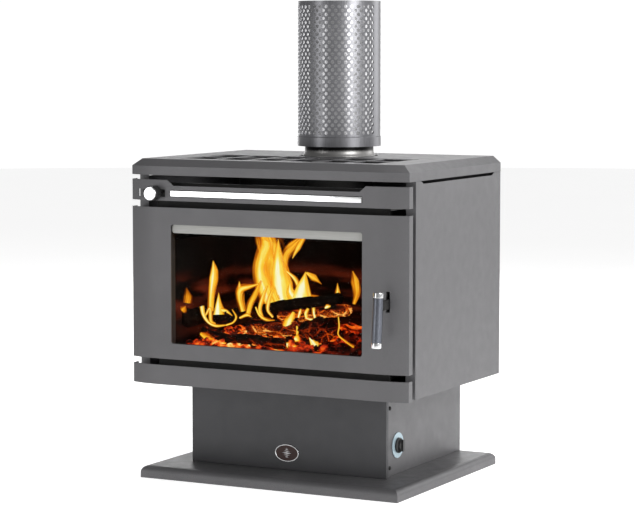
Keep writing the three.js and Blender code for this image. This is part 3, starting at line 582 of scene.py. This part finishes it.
def build_badge():
    """Oval plate: a rim, a dark field, and five plain bars that grow shorter to both sides."""
    low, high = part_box("badge")
    middle = (low + high) / 2
    centre = Vector((middle.x, 0, middle.z))
    wide, tall = (high.x - low.x) / 2, (high.z - low.z) / 2
    field_y = low.y + BADGE_SUNK
    shape = bmesh.new()

    steps = [(0, high.y), (0, low.y + BADGE_EDGE), (BADGE_EDGE, low.y),
             (BADGE_RIM - BADGE_EDGE, low.y), (BADGE_RIM, low.y + 0.4 * MM),
             (BADGE_RIM + 0.2 * MM, field_y)]
    skin_points(shape, [oval(wide - inset, tall - inset, y, centre) for inset, y in steps])
    shape.faces.ensure_lookup_table()
    shape.faces[-1].material_index = 1

    def bar(z, half_wide, half_tall):
        corners = [(-half_wide, 0), (0, -half_tall), (half_wide, 0), (0, half_tall)]
        foot = [centre + Vector((u, field_y - 0.02 * MM, z + v)) for u, v in corners]
        head = [centre + Vector((u * 0.6, low.y + 0.1 * MM, z + v * 0.6)) for u, v in corners]
        skin_points(shape, [foot, head])

    bar(0, wide * BAR_LONG, 1.6 * MM)
    for side in (-1, 1):
        for level in (1, 2):
            bar(side * level * BAR_APART, wide * (BAR_LONG - 0.2 * level), 1.1 * MM)

    badge = new_piece("oval_badge", mesh_of(shape, "oval_badge", EDGE_ANGLE), "stove",
                      finishes["badge_metal"], ["badge"])
    badge.data.materials.append(badge_field())


build_badge()

# ------------------------------------------------------------------ fire: places

strip_low, strip_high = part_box("glass_top_strip")
glass_low, glass_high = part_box("door_glass")
WINDOW_LEFT = strip_low.x
WINDOW_WIDE = strip_high.x - strip_low.x
WINDOW_LOW = glass_low.z + (glass_high.z - strip_high.z)
WINDOW_HIGH = strip_high.z - WINDOW_LOW
SLANT_X = math.tan(CAMERA_TURN)
SLANT_Z = math.tan(CAMERA_DIP) / math.cos(CAMERA_TURN)
floor_low, floor_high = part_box("firebrick_floor")
brick_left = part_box("firebrick_left")[1].x
brick_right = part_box("firebrick_right")[0].x
brick_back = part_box("firebrick_back")[0].y


def inside(across, up, depth):
    """The point `depth` mm behind the glass that is seen at this share of the window."""
    behind = depth * MM
    x = WINDOW_LEFT + across * WINDOW_WIDE - behind * SLANT_X
    z = WINDOW_LOW + up * WINDOW_HIGH - behind * SLANT_Z
    return Vector((x, glass_high.y + behind, z))


def along_curve(points, steps):
    """Positions on a smooth curve through the points, `steps` from each point to the next."""
    padded = [points[0] * 2 - points[1], *points, points[-1] * 2 - points[-2]]
    line = []
    for i in range(len(points) - 1):
        a, b, c, d = padded[i:i + 4]
        for k in range(steps):
            t = k / steps
            line.append(0.5 * (2 * b + (c - a) * t + (2 * a - 5 * b + 4 * c - d) * t * t
                               + (3 * b - a - 3 * c + d) * t ** 3))
    line.append(points[-1].copy())
    return line


# ------------------------------------------------------------------ fire: flames

FLAME_RING = 12
FLAME_FLATNESS = 0.32
FLAME_SPREAD = 1.55  # the faint outer part of each tongue
FLAME_STEPS = 8  # between two points of a route
FLAME_TIP = 0.25 * MM
FLAME_STREAK = 34 * MM  # length of the streaks along a tongue
FLAME_COOLS = 0.42  # of its heat, over the last part of its length
FLAME_COOLING_FROM = 0.55


def flame_material():
    """Hot yellow core, orange edge, clear outside: from how far across and along the tongue."""
    surface = Surface("flame_finish", Base_Color=(0, 0, 0, 1), Roughness=1.0, Specular_IOR_Level=0.0)
    flow = surface.attribute("flow", "Vector")
    parts = surface.add("ShaderNodeSeparateXYZ", {0: flow}).outputs
    across = surface.math("ABSOLUTE", parts[0])
    streak = surface.noise(1.0, 3, (1.9, 0.40, 1.0), flow)
    body = surface.flipped(surface.math("POWER", across, 1.05))
    ragged = surface.math("MULTIPLY", surface.math("SUBTRACT", streak, 0.5), 1.5)
    heat = surface.attribute("hotness")
    level = surface.math("ADD", surface.math("MULTIPLY", body, heat), ragged)
    surface.shine(surface.ramp(
        level, (0.06, (0.70, 0.10, 0.003)), (0.26, (0.92, 0.20, 0.005)), (0.48, (1.0, 0.38, 0.012)),
        (0.72, (1.0, 0.62, 0.04)), (0.98, (1.0, 0.84, 0.16)), (1.28, (1.0, 0.98, 0.66))))
    surface.feed("Alpha", surface.smooth(level, 0.05, 0.74))
    return surface.material


def tongue(shape, layers, route, widths, heat):
    """One flame: a lens-shaped ribbon along the route, as wide as `widths` says (mm)."""
    line = along_curve([inside(*step) for step in route], FLAME_STEPS)
    last = len(line) - 1
    flow, hot = layers
    kick = random.uniform(0, 40)
    rings = []
    length = 0.0
    for i, point in enumerate(line):
        share = i / last
        place = share * (len(widths) - 1)
        low_index = min(int(place), len(widths) - 2)
        half = widths[low_index] + (widths[low_index + 1] - widths[low_index]) * (place - low_index)
        half = max(half * FLAME_SPREAD * MM, FLAME_TIP)
        tangent = (line[min(i + 1, last)] - line[max(i - 1, 0)]).normalized()
        side = tangent.cross(Vector((0, -1, 0)))
        side = side.normalized() if side.length > 1e-4 else Vector((1, 0, 0))
        front = side.cross(tangent).normalized()
        if i:
            length += (point - line[i - 1]).length
        cooling = max(0.0, share - FLAME_COOLING_FROM) / (1 - FLAME_COOLING_FROM)
        ring = []
        for k in range(FLAME_RING):
            turn = math.tau * k / FLAME_RING
            offset = side * half * math.cos(turn)
            offset += front * half * FLAME_FLATNESS * math.sin(turn)
            vertex = shape.verts.new(point + offset)
            vertex[flow] = Vector((math.cos(turn), length / FLAME_STREAK, kick))
            vertex[hot] = heat * (1 - FLAME_COOLS * cooling)
            ring.append(vertex)
        rings.append(ring)
    skin(shape, rings)


def flame_piece(name, tongues):
    """A piece of several tongues, each (route, widths, heat); a route's points are for inside()."""
    shape = bmesh.new()
    layers = (shape.verts.layers.float_vector.new("flow"), shape.verts.layers.float.new("hotness"))
    for route, widths, heat in tongues:
        tongue(shape, layers, route, widths, heat)
    new_piece(name, mesh_of(shape, name), "stove", flames_finish)


random.seed(SEED)
flames_finish = flame_material()

flame_piece("flame_column", [
    # the broad cooler body behind
    ([(0.54, 0.36, 150), (0.53, 0.55, 146), (0.525, 0.72, 138), (0.52, 0.86, 118), (0.50, 0.95, 104)],
     [30, 34, 30, 27, 24], 0.66),
    # the tall left-hand tongue
    ([(0.515, 0.37, 134), (0.485, 0.50, 132), (0.462, 0.63, 128), (0.470, 0.75, 120),
      (0.492, 0.86, 108), (0.482, 0.95, 100)], [15, 19, 17, 15, 15, 12], 1.12),
    # the hot middle tongue
    ([(0.585, 0.40, 128), (0.566, 0.54, 126), (0.560, 0.68, 122), (0.556, 0.80, 110),
      (0.553, 0.915, 100)], [17, 21, 16, 9, 0.5], 1.3),
    # orange wisps to the right of its top
    ([(0.590, 0.68, 122), (0.592, 0.78, 112), (0.630, 0.86, 104), (0.674, 0.94, 100)],
     [4, 10, 11, 5], 0.72),
    ([(0.628, 0.76, 108), (0.655, 0.85, 104), (0.690, 0.95, 100)], [0.5, 6, 5], 0.8),
    ([(0.455, 0.80, 112), (0.448, 0.88, 106), (0.440, 0.95, 100)], [3, 9, 8], 0.5),
])

flame_piece("flame_right", [
    ([(0.680, 0.425, 116), (0.686, 0.53, 114), (0.697, 0.655, 112)], [22, 13, 0.5], 1.5),
    ([(0.640, 0.43, 114), (0.618, 0.48, 113), (0.614, 0.56, 112)], [12, 9, 0.5], 1.2),
    ([(0.590, 0.66, 120), (0.640, 0.59, 116), (0.665, 0.50, 112), (0.672, 0.44, 110)],
     [1, 5, 6, 4], 0.95),
    ([(0.702, 0.645, 112), (0.740, 0.605, 110), (0.782, 0.555, 108)], [2.5, 8, 0.5], 0.85),
    ([(0.862, 0.44, 96), (0.866, 0.50, 96), (0.864, 0.575, 95)], [6, 5, 0.5], 1.0),
    ([(0.948, 0.41, 88), (0.962, 0.50, 88), (0.957, 0.60, 88), (0.942, 0.68, 88)],
     [3, 7, 9, 1.5], 0.72),
    ([(0.730, 0.435, 112), (0.765, 0.440, 110), (0.800, 0.425, 108)], [6, 4, 0.5], 0.8),
])

flame_piece("flame_left", [
    ([(0.187, 0.28, 84), (0.192, 0.42, 84), (0.203, 0.55, 83), (0.208, 0.63, 82), (0.203, 0.71, 81)],
     [6, 7, 9, 7, 0.5], 1.15),
    ([(0.235, 0.255, 82), (0.232, 0.33, 82), (0.232, 0.44, 81)], [15, 8, 0.5], 1.35),
    ([(0.240, 0.29, 80), (0.275, 0.285, 78), (0.306, 0.250, 76)], [5, 3.5, 1], 1.2),
    ([(0.140, 0.315, 80), (0.150, 0.24, 76), (0.178, 0.18, 72), (0.22, 0.155, 70),
      (0.275, 0.168, 70)], [5, 4, 3, 3.5, 2], 1.15),
    ([(0.275, 0.168, 70), (0.312, 0.195, 70), (0.328, 0.245, 71), (0.306, 0.305, 72)],
     [2, 2, 2.5, 1], 1.0),
    ([(0.160, 0.24, 78), (0.185, 0.30, 80), (0.190, 0.20, 74), (0.215, 0.175, 71)],
     [2, 4, 4, 2], 0.95),
    ([(0.062, 0.34, 40), (0.066, 0.395, 42), (0.060, 0.47, 44)], [9, 10, 1], 0.5),
    ([(0.040, 0.27, 34), (0.047, 0.285, 34), (0.058, 0.315, 34)], [6, 7, 1], 0.62),
])

flame_piece("flame_curls", [
    ([(0.362, 0.29, 104), (0.345, 0.40, 104), (0.352, 0.475, 104), (0.400, 0.505, 106),
      (0.455, 0.535, 112)], [6, 8, 9, 5, 1], 0.9),
    ([(0.347, 0.44, 104), (0.343, 0.50, 104), (0.342, 0.545, 104)], [7, 4, 0.5], 0.85),
    ([(0.388, 0.26, 96), (0.402, 0.36, 100), (0.432, 0.45, 106), (0.462, 0.56, 114)],
     [5, 6, 7, 3], 0.82),
    ([(0.470, 0.245, 76), (0.455, 0.32, 78), (0.470, 0.42, 84), (0.492, 0.52, 100)],
     [3.5, 4, 5, 3], 1.05),
    ([(0.525, 0.26, 74), (0.498, 0.32, 75), (0.508, 0.42, 80), (0.530, 0.50, 100)],
     [2.5, 3.5, 5, 4], 1.0),
    ([(0.432, 0.335, 82), (0.455, 0.27, 76), (0.492, 0.235, 73), (0.535, 0.235, 72)],
     [1.5, 3.5, 4, 1], 1.05),
    ([(0.345, 0.235, 82), (0.385, 0.265, 84), (0.410, 0.25, 82)], [2, 4, 1], 1.05),
    ([(0.545, 0.40, 112), (0.530, 0.47, 118), (0.520, 0.56, 124)], [8, 9, 6], 0.95),
])

flame_piece("flame_low", [
    ([(0.602, 0.185, 62), (0.614, 0.235, 64), (0.634, 0.315, 66)], [9, 10, 4], 1.35),
    ([(0.660, 0.27, 66), (0.668, 0.315, 67), (0.672, 0.345, 68)], [2.5, 3.5, 2], 1.3),
    ([(0.704, 0.265, 66), (0.700, 0.31, 67), (0.712, 0.35, 68)], [2.5, 3.5, 3], 1.3),
    ([(0.748, 0.27, 66), (0.742, 0.315, 67), (0.738, 0.36, 68)], [3, 3.5, 4], 1.3),
    ([(0.705, 0.268, 64), (0.725, 0.262, 64), (0.750, 0.268, 64)], [1.5, 2.5, 1.5], 1.2),
    ([(0.800, 0.36, 68), (0.812, 0.375, 68), (0.828, 0.38, 68)], [2, 4.5, 2], 1.3),
    ([(0.652, 0.20, 62), (0.655, 0.15, 60), (0.650, 0.11, 58)], [2, 3, 1.5], 0.85),
    ([(0.720, 0.115, 50), (0.748, 0.055, 48), (0.785, 0.012, 46)], [2.5, 9, 3], 1.35),
    ([(0.575, 0.052, 48), (0.620, 0.035, 46), (0.668, 0.012, 44)], [3, 7, 3], 1.3),
    ([(0.640, 0.100, 52), (0.652, 0.095, 52), (0.664, 0.083, 52)], [3, 7, 3], 1.35),
    ([(0.868, 0.30, 60), (0.872, 0.22, 58), (0.868, 0.15, 56), (0.905, 0.10, 54),
      (0.947, 0.058, 52)], [1.2, 1.8, 1.6, 2.2, 3], 0.95),
    ([(0.225, 0.025, 46), (0.250, 0.02, 46), (0.275, 0.012, 46)], [2, 4, 2], 1.15),
    ([(0.135, 0.085, 52), (0.165, 0.06, 50), (0.205, 0.045, 48)], [3, 8, 3], 0.75),
])

# ------------------------------------------------------------------ fire: logs and embers


def charred_wood():
    """Blackened bark in ridges, with cracks that glow where the `burn` attribute is high."""
    surface = Surface("charred_wood_finish", Specular_IOR_Level=0.08)
    burn = surface.attribute("burn")
    ridges = surface.noise(55, 6)
    swirl = surface.add("ShaderNodeTexNoise", {"Scale": 60.0}).outputs["Color"]
    wander = surface.mix(0.008, surface.place, swirl)
    cracks = surface.cells(50, feature="DISTANCE_TO_EDGE", stretch=(0.5, 1, 1), place=wander)
    fine = surface.cells(190, feature="DISTANCE_TO_EDGE")
    ash = surface.noise(120, 5)
    char = surface.ramp(ridges, (0.35, (0.002, 0.0015, 0.001)), (0.7, (0.014, 0.006, 0.003)))
    pale = surface.ramp(ash, (0.6, BLACK), (0.8, (0.035, 0.022, 0.014)))
    surface.feed("Base Color", surface.mix(1.0, char, pale, "ADD"))
    surface.feed("Roughness", surface.span(ridges, 0.2, 0.8, 0.8, 1.0))
    open_crack = surface.flipped(surface.smooth(cracks, 0.0, 0.10))
    thin_crack = surface.flipped(surface.smooth(fine, 0.0, 0.16))
    patches = surface.smooth(surface.noise(34, 5), 0.40, 0.68)
    glow = surface.math("MAXIMUM", open_crack, surface.math("MULTIPLY", thin_crack, 0.6))
    glow = surface.math("MAXIMUM", glow, surface.math("MULTIPLY", patches, 0.24))
    level = surface.math("MULTIPLY", glow, burn)
    surface.shine(surface.ramp(
        level, (0.14, BLACK), (0.30, (0.13, 0.008, 0.001)), (0.52, (0.55, 0.05, 0.003)),
        (0.80, (1.0, 0.22, 0.01)), (1.05, (1.0, 0.64, 0.14))))
    surface.bump(surface.math("ADD", ridges, cracks), 1.0, 5 * MM)
    return surface.material


wood_finish = charred_wood()
LOG_STEPS = 44
LOG_AROUND = 40
LOG_ENDS = (0.45, 0.86)  # shrunk rings that round a log's ends


def log(name, start, end, radius, burn, corners=0, rough=0.16, wide=1.0):
    """A log from `start` to `end`: knotty bark, chipped ends; `corners` makes it a split one."""
    axis = end - start
    along = axis.normalized()
    up = (Vector((0, 0, 1)) - along * along.z).normalized()
    side = along.cross(up)
    kick = Vector((random.uniform(0, 90), random.uniform(0, 90), random.uniform(0, 90)))
    shape = bmesh.new()
    glow = shape.verts.layers.float.new("burn")

    def section(share, shrink):
        ring = []
        bend = noise.noise(kick + Vector((share * 1.6, 0, 0))) * radius * 0.35
        for k in range(LOG_AROUND):
            turn = math.tau * k / LOG_AROUND
            reach = radius * shrink
            if corners:
                wedge = math.cos(math.pi / corners)
                flat = wedge / math.cos(turn % (math.tau / corners) - math.pi / corners)
                reach *= 0.5 + 0.5 * flat
            here = Vector((share * 6, math.cos(turn) * 1.5, math.sin(turn) * 1.5)) + kick
            bark = Vector((share * 2.2, math.cos(turn) * 5, math.sin(turn) * 5)) + kick
            reach *= 1 + rough * noise.noise(here) + rough * 0.7 * noise.noise(bark * 1.7)
            block = noise.cell(Vector((share * 9, k / LOG_AROUND * 5, 0)) + kick)
            reach *= 1 - 0.07 * block
            chip = shrink * noise.noise(here * 1.9 + kick) * radius * 0.3
            spot = start + axis * share + up * (reach * math.sin(turn) + bend)
            spot += side * reach * wide * math.cos(turn)
            if share in (0, 1):
                spot += along * chip
            vertex = shape.verts.new(spot)
            below = 0.5 - 0.5 * math.sin(turn)
            patch = 0.5 + 0.9 * noise.noise(here * 0.8 - kick)
            vertex[glow] = max(0.0, burn * (0.35 + 0.65 * below) + burn * (patch - 0.5) * 0.9)
            ring.append(vertex)
        return ring

    rings = [section(0, shrink) for shrink in LOG_ENDS]
    rings += [section(i / LOG_STEPS, 1.0) for i in range(1, LOG_STEPS)]
    rings += [section(1, shrink) for shrink in reversed(LOG_ENDS)]
    skin(shape, rings)
    new_piece(name, mesh_of(shape, name), "stove", wood_finish)


log("log_across", inside(0.455, 0.315, 112), inside(0.880, 0.455, 84), 13 * MM, burn=0.10)
log("log_glowing", inside(0.560, 0.265, 96), inside(0.925, 0.360, 66), 14 * MM, burn=1.25,
    corners=5, rough=0.24)
log("log_split", inside(0.690, 0.165, 150), inside(0.790, 0.165, 64), 33 * MM, burn=0.5,
    corners=4, rough=0.12, wide=1.35)
log("log_round", inside(0.268, 0.225, 78), inside(0.50, 0.31, 250), 20 * MM, burn=0.20)
log("log_middle", inside(0.40, 0.155, 92), inside(0.665, 0.20, 74), 19 * MM, burn=1.1,
    corners=5, rough=0.24)
log("log_front", inside(0.15, 0.115, 66), inside(0.44, -0.02, 44), 11 * MM, burn=0.55)
log("log_low", inside(0.34, 0.06, 50), inside(0.60, 0.045, 46), 12 * MM, burn=0.45)
log("log_back_left", inside(0.02, 0.20, 60), inside(0.22, 0.25, 150), 21 * MM, burn=0.08)


def ember_material():
    """Ash-grey crust over red and orange heat, from the `burn` attribute."""
    surface = Surface("ember_finish", Specular_IOR_Level=0.08)
    heat = surface.attribute("burn")
    crust = surface.noise(46, 6)
    pores = surface.cells(260)
    ash = surface.ramp(crust, (0.35, (0.006, 0.004, 0.003)), (0.75, (0.05, 0.03, 0.022)))
    surface.feed("Base Color", ash)
    surface.feed("Roughness", surface.span(pores, 0, 1, 0.85, 1.0))
    mottled = surface.span(crust, 0.36, 0.66, 0.1, 1.6)
    level = surface.math("MULTIPLY", heat, mottled)
    surface.shine(surface.ramp(
        level, (0.12, (0.004, 0.0, 0.0)), (0.34, (0.14, 0.006, 0.001)), (0.56, (0.60, 0.030, 0.003)),
        (0.85, (1.0, 0.16, 0.008)), (1.20, (1.0, 0.55, 0.10)), (1.60, (1.0, 0.85, 0.35))))
    surface.bump(crust, 0.8, 2 * MM)
    return surface.material


COAL_COUNT = 420
COAL_SIZES = (5 * MM, 12 * MM)  # radius
COAL_ZONE = (16 * MM, 190 * MM)  # how far behind the floor bricks' front edge they lie
COAL_MARGIN = 18 * MM  # from the side bricks
BED_CLEARANCE = 4 * MM
BED_STEPS = (72, 54)
BED_FLOOR_GAP = 0.3 * MM
BED_LEAST = 2 * MM
BED_EDGE_RISE = 10 * MM
BED_RISE = 46 * MM


def bed_height(x, y):
    """The top of the ember bed: highest in the middle, falling to the walls."""
    width = (brick_right - brick_left) / 2
    front = floor_low.y
    deep = brick_back - front
    across = max(0.0, 1 - (x / width) ** 4)
    behind = (y - front) / deep
    ramp_up = min(1.0, 0.35 + behind * 2.4) * (1 - 0.35 * behind)
    rise = BED_EDGE_RISE + BED_RISE * across * ramp_up
    return floor_high.z + rise * (0.85 + 0.35 * noise.noise(Vector((x, y, 3)) * 22))


def hot_at(x):
    """How hot the coals are along the width: hottest left of the middle, cool at the right."""
    share = (x - brick_left) / (brick_right - brick_left)
    return max(0.2, 1.35 - abs(share - 0.32) * 2.0)


def ember_bed():
    """The glowing bed as a closed solid: a lumpy top, and sides down to the floor bricks."""
    steps_x, steps_y = BED_STEPS
    x_low, x_high = brick_left + BED_CLEARANCE, brick_right - BED_CLEARANCE
    y_low, y_high = floor_low.y + BED_CLEARANCE, brick_back - BED_CLEARANCE
    ground = floor_high.z + BED_FLOOR_GAP
    shape = bmesh.new()
    glow = shape.verts.layers.float.new("burn")
    grid = []
    for j in range(steps_y + 1):
        row = []
        for i in range(steps_x + 1):
            x = x_low + (x_high - x_low) * i / steps_x
            y = y_low + (y_high - y_low) * j / steps_y
            lumps = 5 * MM * noise.cell(Vector((x, y, 0)) * 70)
            lumps += 4 * MM * noise.noise(Vector((x, y, 9)) * 60)
            top = max(ground + BED_LEAST, bed_height(x, y) + lumps)
            vertex = shape.verts.new((x, y, top))
            vertex[glow] = hot_at(x) * (0.75 + 0.6 * noise.noise(Vector((x, y, 5)) * 14))
            row.append(vertex)
        grid.append(row)
    for j in range(steps_y):
        for i in range(steps_x):
            shape.faces.new((grid[j][i], grid[j][i + 1], grid[j + 1][i + 1], grid[j + 1][i]))
    edge = grid[0][:-1] + [row[-1] for row in grid[:-1]]
    edge += grid[-1][:0:-1] + [row[0] for row in grid[:0:-1]]
    under = [shape.verts.new((v.co.x, v.co.y, ground)) for v in edge]
    for i in range(len(edge)):
        j = (i + 1) % len(edge)
        shape.faces.new((edge[j], edge[i], under[i], under[j]))
    shape.faces.new(reversed(under))
    mesh = mesh_of(shape, "ember_bed", math.radians(50))
    new_piece("ember_bed", mesh, "stove", embers_finish)


def coals():
    """Loose dented coals on the bed, each with a heat of its own, hotter underneath."""
    shape = bmesh.new()
    glow = shape.verts.layers.float.new("burn")
    front, back = (floor_low.y + behind for behind in COAL_ZONE)
    for _ in range(COAL_COUNT):
        x = random.uniform(brick_left + COAL_MARGIN, brick_right - COAL_MARGIN)
        y = random.uniform(front, back)
        size = random.uniform(*COAL_SIZES)
        centre = Vector((x, y, bed_height(x, y) + size * random.uniform(0.1, 0.7)))
        angle = random.uniform(0, math.tau)
        axis = Vector([random.uniform(-1, 1) for _ in range(3)]).normalized()
        turn = Matrix.Rotation(angle, 4, axis)
        stretch = Matrix.Diagonal((1, random.uniform(0.6, 0.95), random.uniform(0.5, 0.85), 1))
        place = Matrix.Translation(centre) @ turn @ stretch
        made = bmesh.ops.create_icosphere(shape, subdivisions=2, radius=size, matrix=place)
        kick = Vector((random.uniform(0, 90), 0, 0))
        heat = hot_at(x) * random.choice((0.25, 0.55, 0.8, 1.0, 1.15))
        for vertex in made["verts"]:
            out = (vertex.co - centre).normalized()
            dent = 0.22 * noise.noise(out * 1.7 + kick) + 0.1 * noise.cell(out * 2.1 + kick)
            vertex.co = centre + (vertex.co - centre) * (1 + dent)
            below = 0.5 - 0.5 * out.z
            vertex[glow] = heat * (0.55 + 0.6 * below)
    mesh = mesh_of(shape, "coals", math.radians(40), recalculate=False)
    new_piece("coals", mesh, "stove", embers_finish)


embers_finish = ember_material()
ember_bed()
coals()

# ------------------------------------------------------------------ studio

FLOOR_RADIUS = 14.0
ROOM_BRIGHT_SIDE = (0.72, 0.55, -0.42)
ROOM_LEVELS = (0.14, 0.66)
FLOOR_LIFT = 0.62  # keeps the floor near white to its far edge
FLOOR_BELOW = 0.3 * MM  # the base's underside
LIGHTS_AIM = Vector((0, 0, 0.55))
BACKDROP = 1.05


def pale_floor():
    surface = Surface("floor_finish", Roughness=0.8, Specular_IOR_Level=0.2,
                      Emission_Color=(*WHITE, 1), Emission_Strength=FLOOR_LIFT)
    tone = surface.noise(1.5, 3)
    surface.feed("Base Color", surface.ramp(tone, (0.3, grey(0.9)), (0.7, grey(0.92))))
    shape = bmesh.new()
    bmesh.ops.create_circle(shape, cap_ends=True, segments=96, radius=FLOOR_RADIUS)
    mesh = bpy.data.meshes.new("floor")
    shape.to_mesh(mesh)
    shape.free()
    floor = bpy.data.objects.new("floor", mesh)
    floor.location.z = -FLOOR_BELOW
    bpy.context.scene.collection.objects.link(floor)
    mesh.materials.append(surface.material)


def softbox(name, azimuth, height, distance, size, power):
    """A rectangular light aimed at the stove's middle; azimuth 0 is straight in front."""
    lamp = bpy.data.lights.new(name, "AREA")
    lamp.shape = "RECTANGLE"
    lamp.size, lamp.size_y = size
    lamp.energy = power
    holder = bpy.data.objects.new(name, lamp)
    turn = math.radians(azimuth)
    holder.location = (distance * math.sin(turn), -distance * math.cos(turn), height)
    aim = LIGHTS_AIM - holder.location
    holder.rotation_euler = aim.to_track_quat("-Z", "Y").to_euler()
    holder.visible_camera = False
    bpy.context.scene.collection.objects.link(holder)


def fire_glow(name, place, power, colour, radius):
    """A small warm lamp in the fire, for its light on the logs and bricks."""
    lamp = bpy.data.lights.new(name, "POINT")
    lamp.energy = power
    lamp.color = colour
    lamp.shadow_soft_size = radius
    holder = bpy.data.objects.new(name, lamp)
    holder.location = place
    bpy.context.scene.collection.objects.link(holder)


def studio_world():
    """White to the camera, and a dimmer room with a bright right side for the lighting."""
    world = bpy.data.worlds.new("studio")
    world.use_nodes = True
    tree = world.node_tree
    room = tree.nodes["Background"]
    direction = tree.nodes.new("ShaderNodeTexCoord")
    bright_side = tree.nodes.new("ShaderNodeVectorMath")
    bright_side.operation = "DOT_PRODUCT"
    bright_side.inputs[1].default_value = ROOM_BRIGHT_SIDE
    tree.links.new(direction.outputs["Generated"], bright_side.inputs[0])
    spread = tree.nodes.new("ShaderNodeMapRange")
    spread.inputs[1].default_value = -1
    spread.inputs[2].default_value = 1
    tree.links.new(bright_side.outputs["Value"], spread.inputs[0])
    shade = tree.nodes.new("ShaderNodeValToRGB")
    for element, level in zip(shade.color_ramp.elements, ROOM_LEVELS):
        element.color = (*grey(level), 1)
    tree.links.new(spread.outputs[0], shade.inputs[0])
    tree.links.new(shade.outputs[0], room.inputs["Color"])
    backdrop = tree.nodes.new("ShaderNodeBackground")
    backdrop.inputs["Color"].default_value = (*WHITE, 1)
    backdrop.inputs["Strength"].default_value = BACKDROP
    seen = tree.nodes.new("ShaderNodeLightPath")
    pick = tree.nodes.new("ShaderNodeMixShader")
    tree.links.new(seen.outputs["Is Camera Ray"], pick.inputs[0])
    tree.links.new(room.outputs[0], pick.inputs[1])
    tree.links.new(backdrop.outputs[0], pick.inputs[2])
    tree.links.new(pick.outputs[0], tree.nodes["World Output"].inputs["Surface"])
    bpy.context.scene.world = world


pale_floor()
studio_world()
softbox("key_light", azimuth=70, height=2.0, distance=3.2, size=(1.5, 2.2), power=78)
softbox("rim_light", azimuth=152, height=1.4, distance=3.6, size=(1.6, 1.6), power=16)
softbox("fill_light", azimuth=-30, height=1.2, distance=4.0, size=(0.9, 2.2), power=16)
softbox("back_light", azimuth=214, height=0.9, distance=4.8, size=(3.6, 0.9), power=26)
softbox("top_light", azimuth=190, height=3.4, distance=2.2, size=(2.6, 2.0), power=85)
fire_glow("fire_glow_low", inside(0.50, 0.32, 150), 0.08, (1.0, 0.30, 0.08), 0.04)
fire_glow("fire_glow_high", inside(0.52, 0.62, 170), 0.10, (1.0, 0.36, 0.10), 0.05)
bpy.context.scene.view_settings.view_transform = "Standard"
bpy.context.scene.cycles.transparent_max_bounces = 40  # many flames overlap
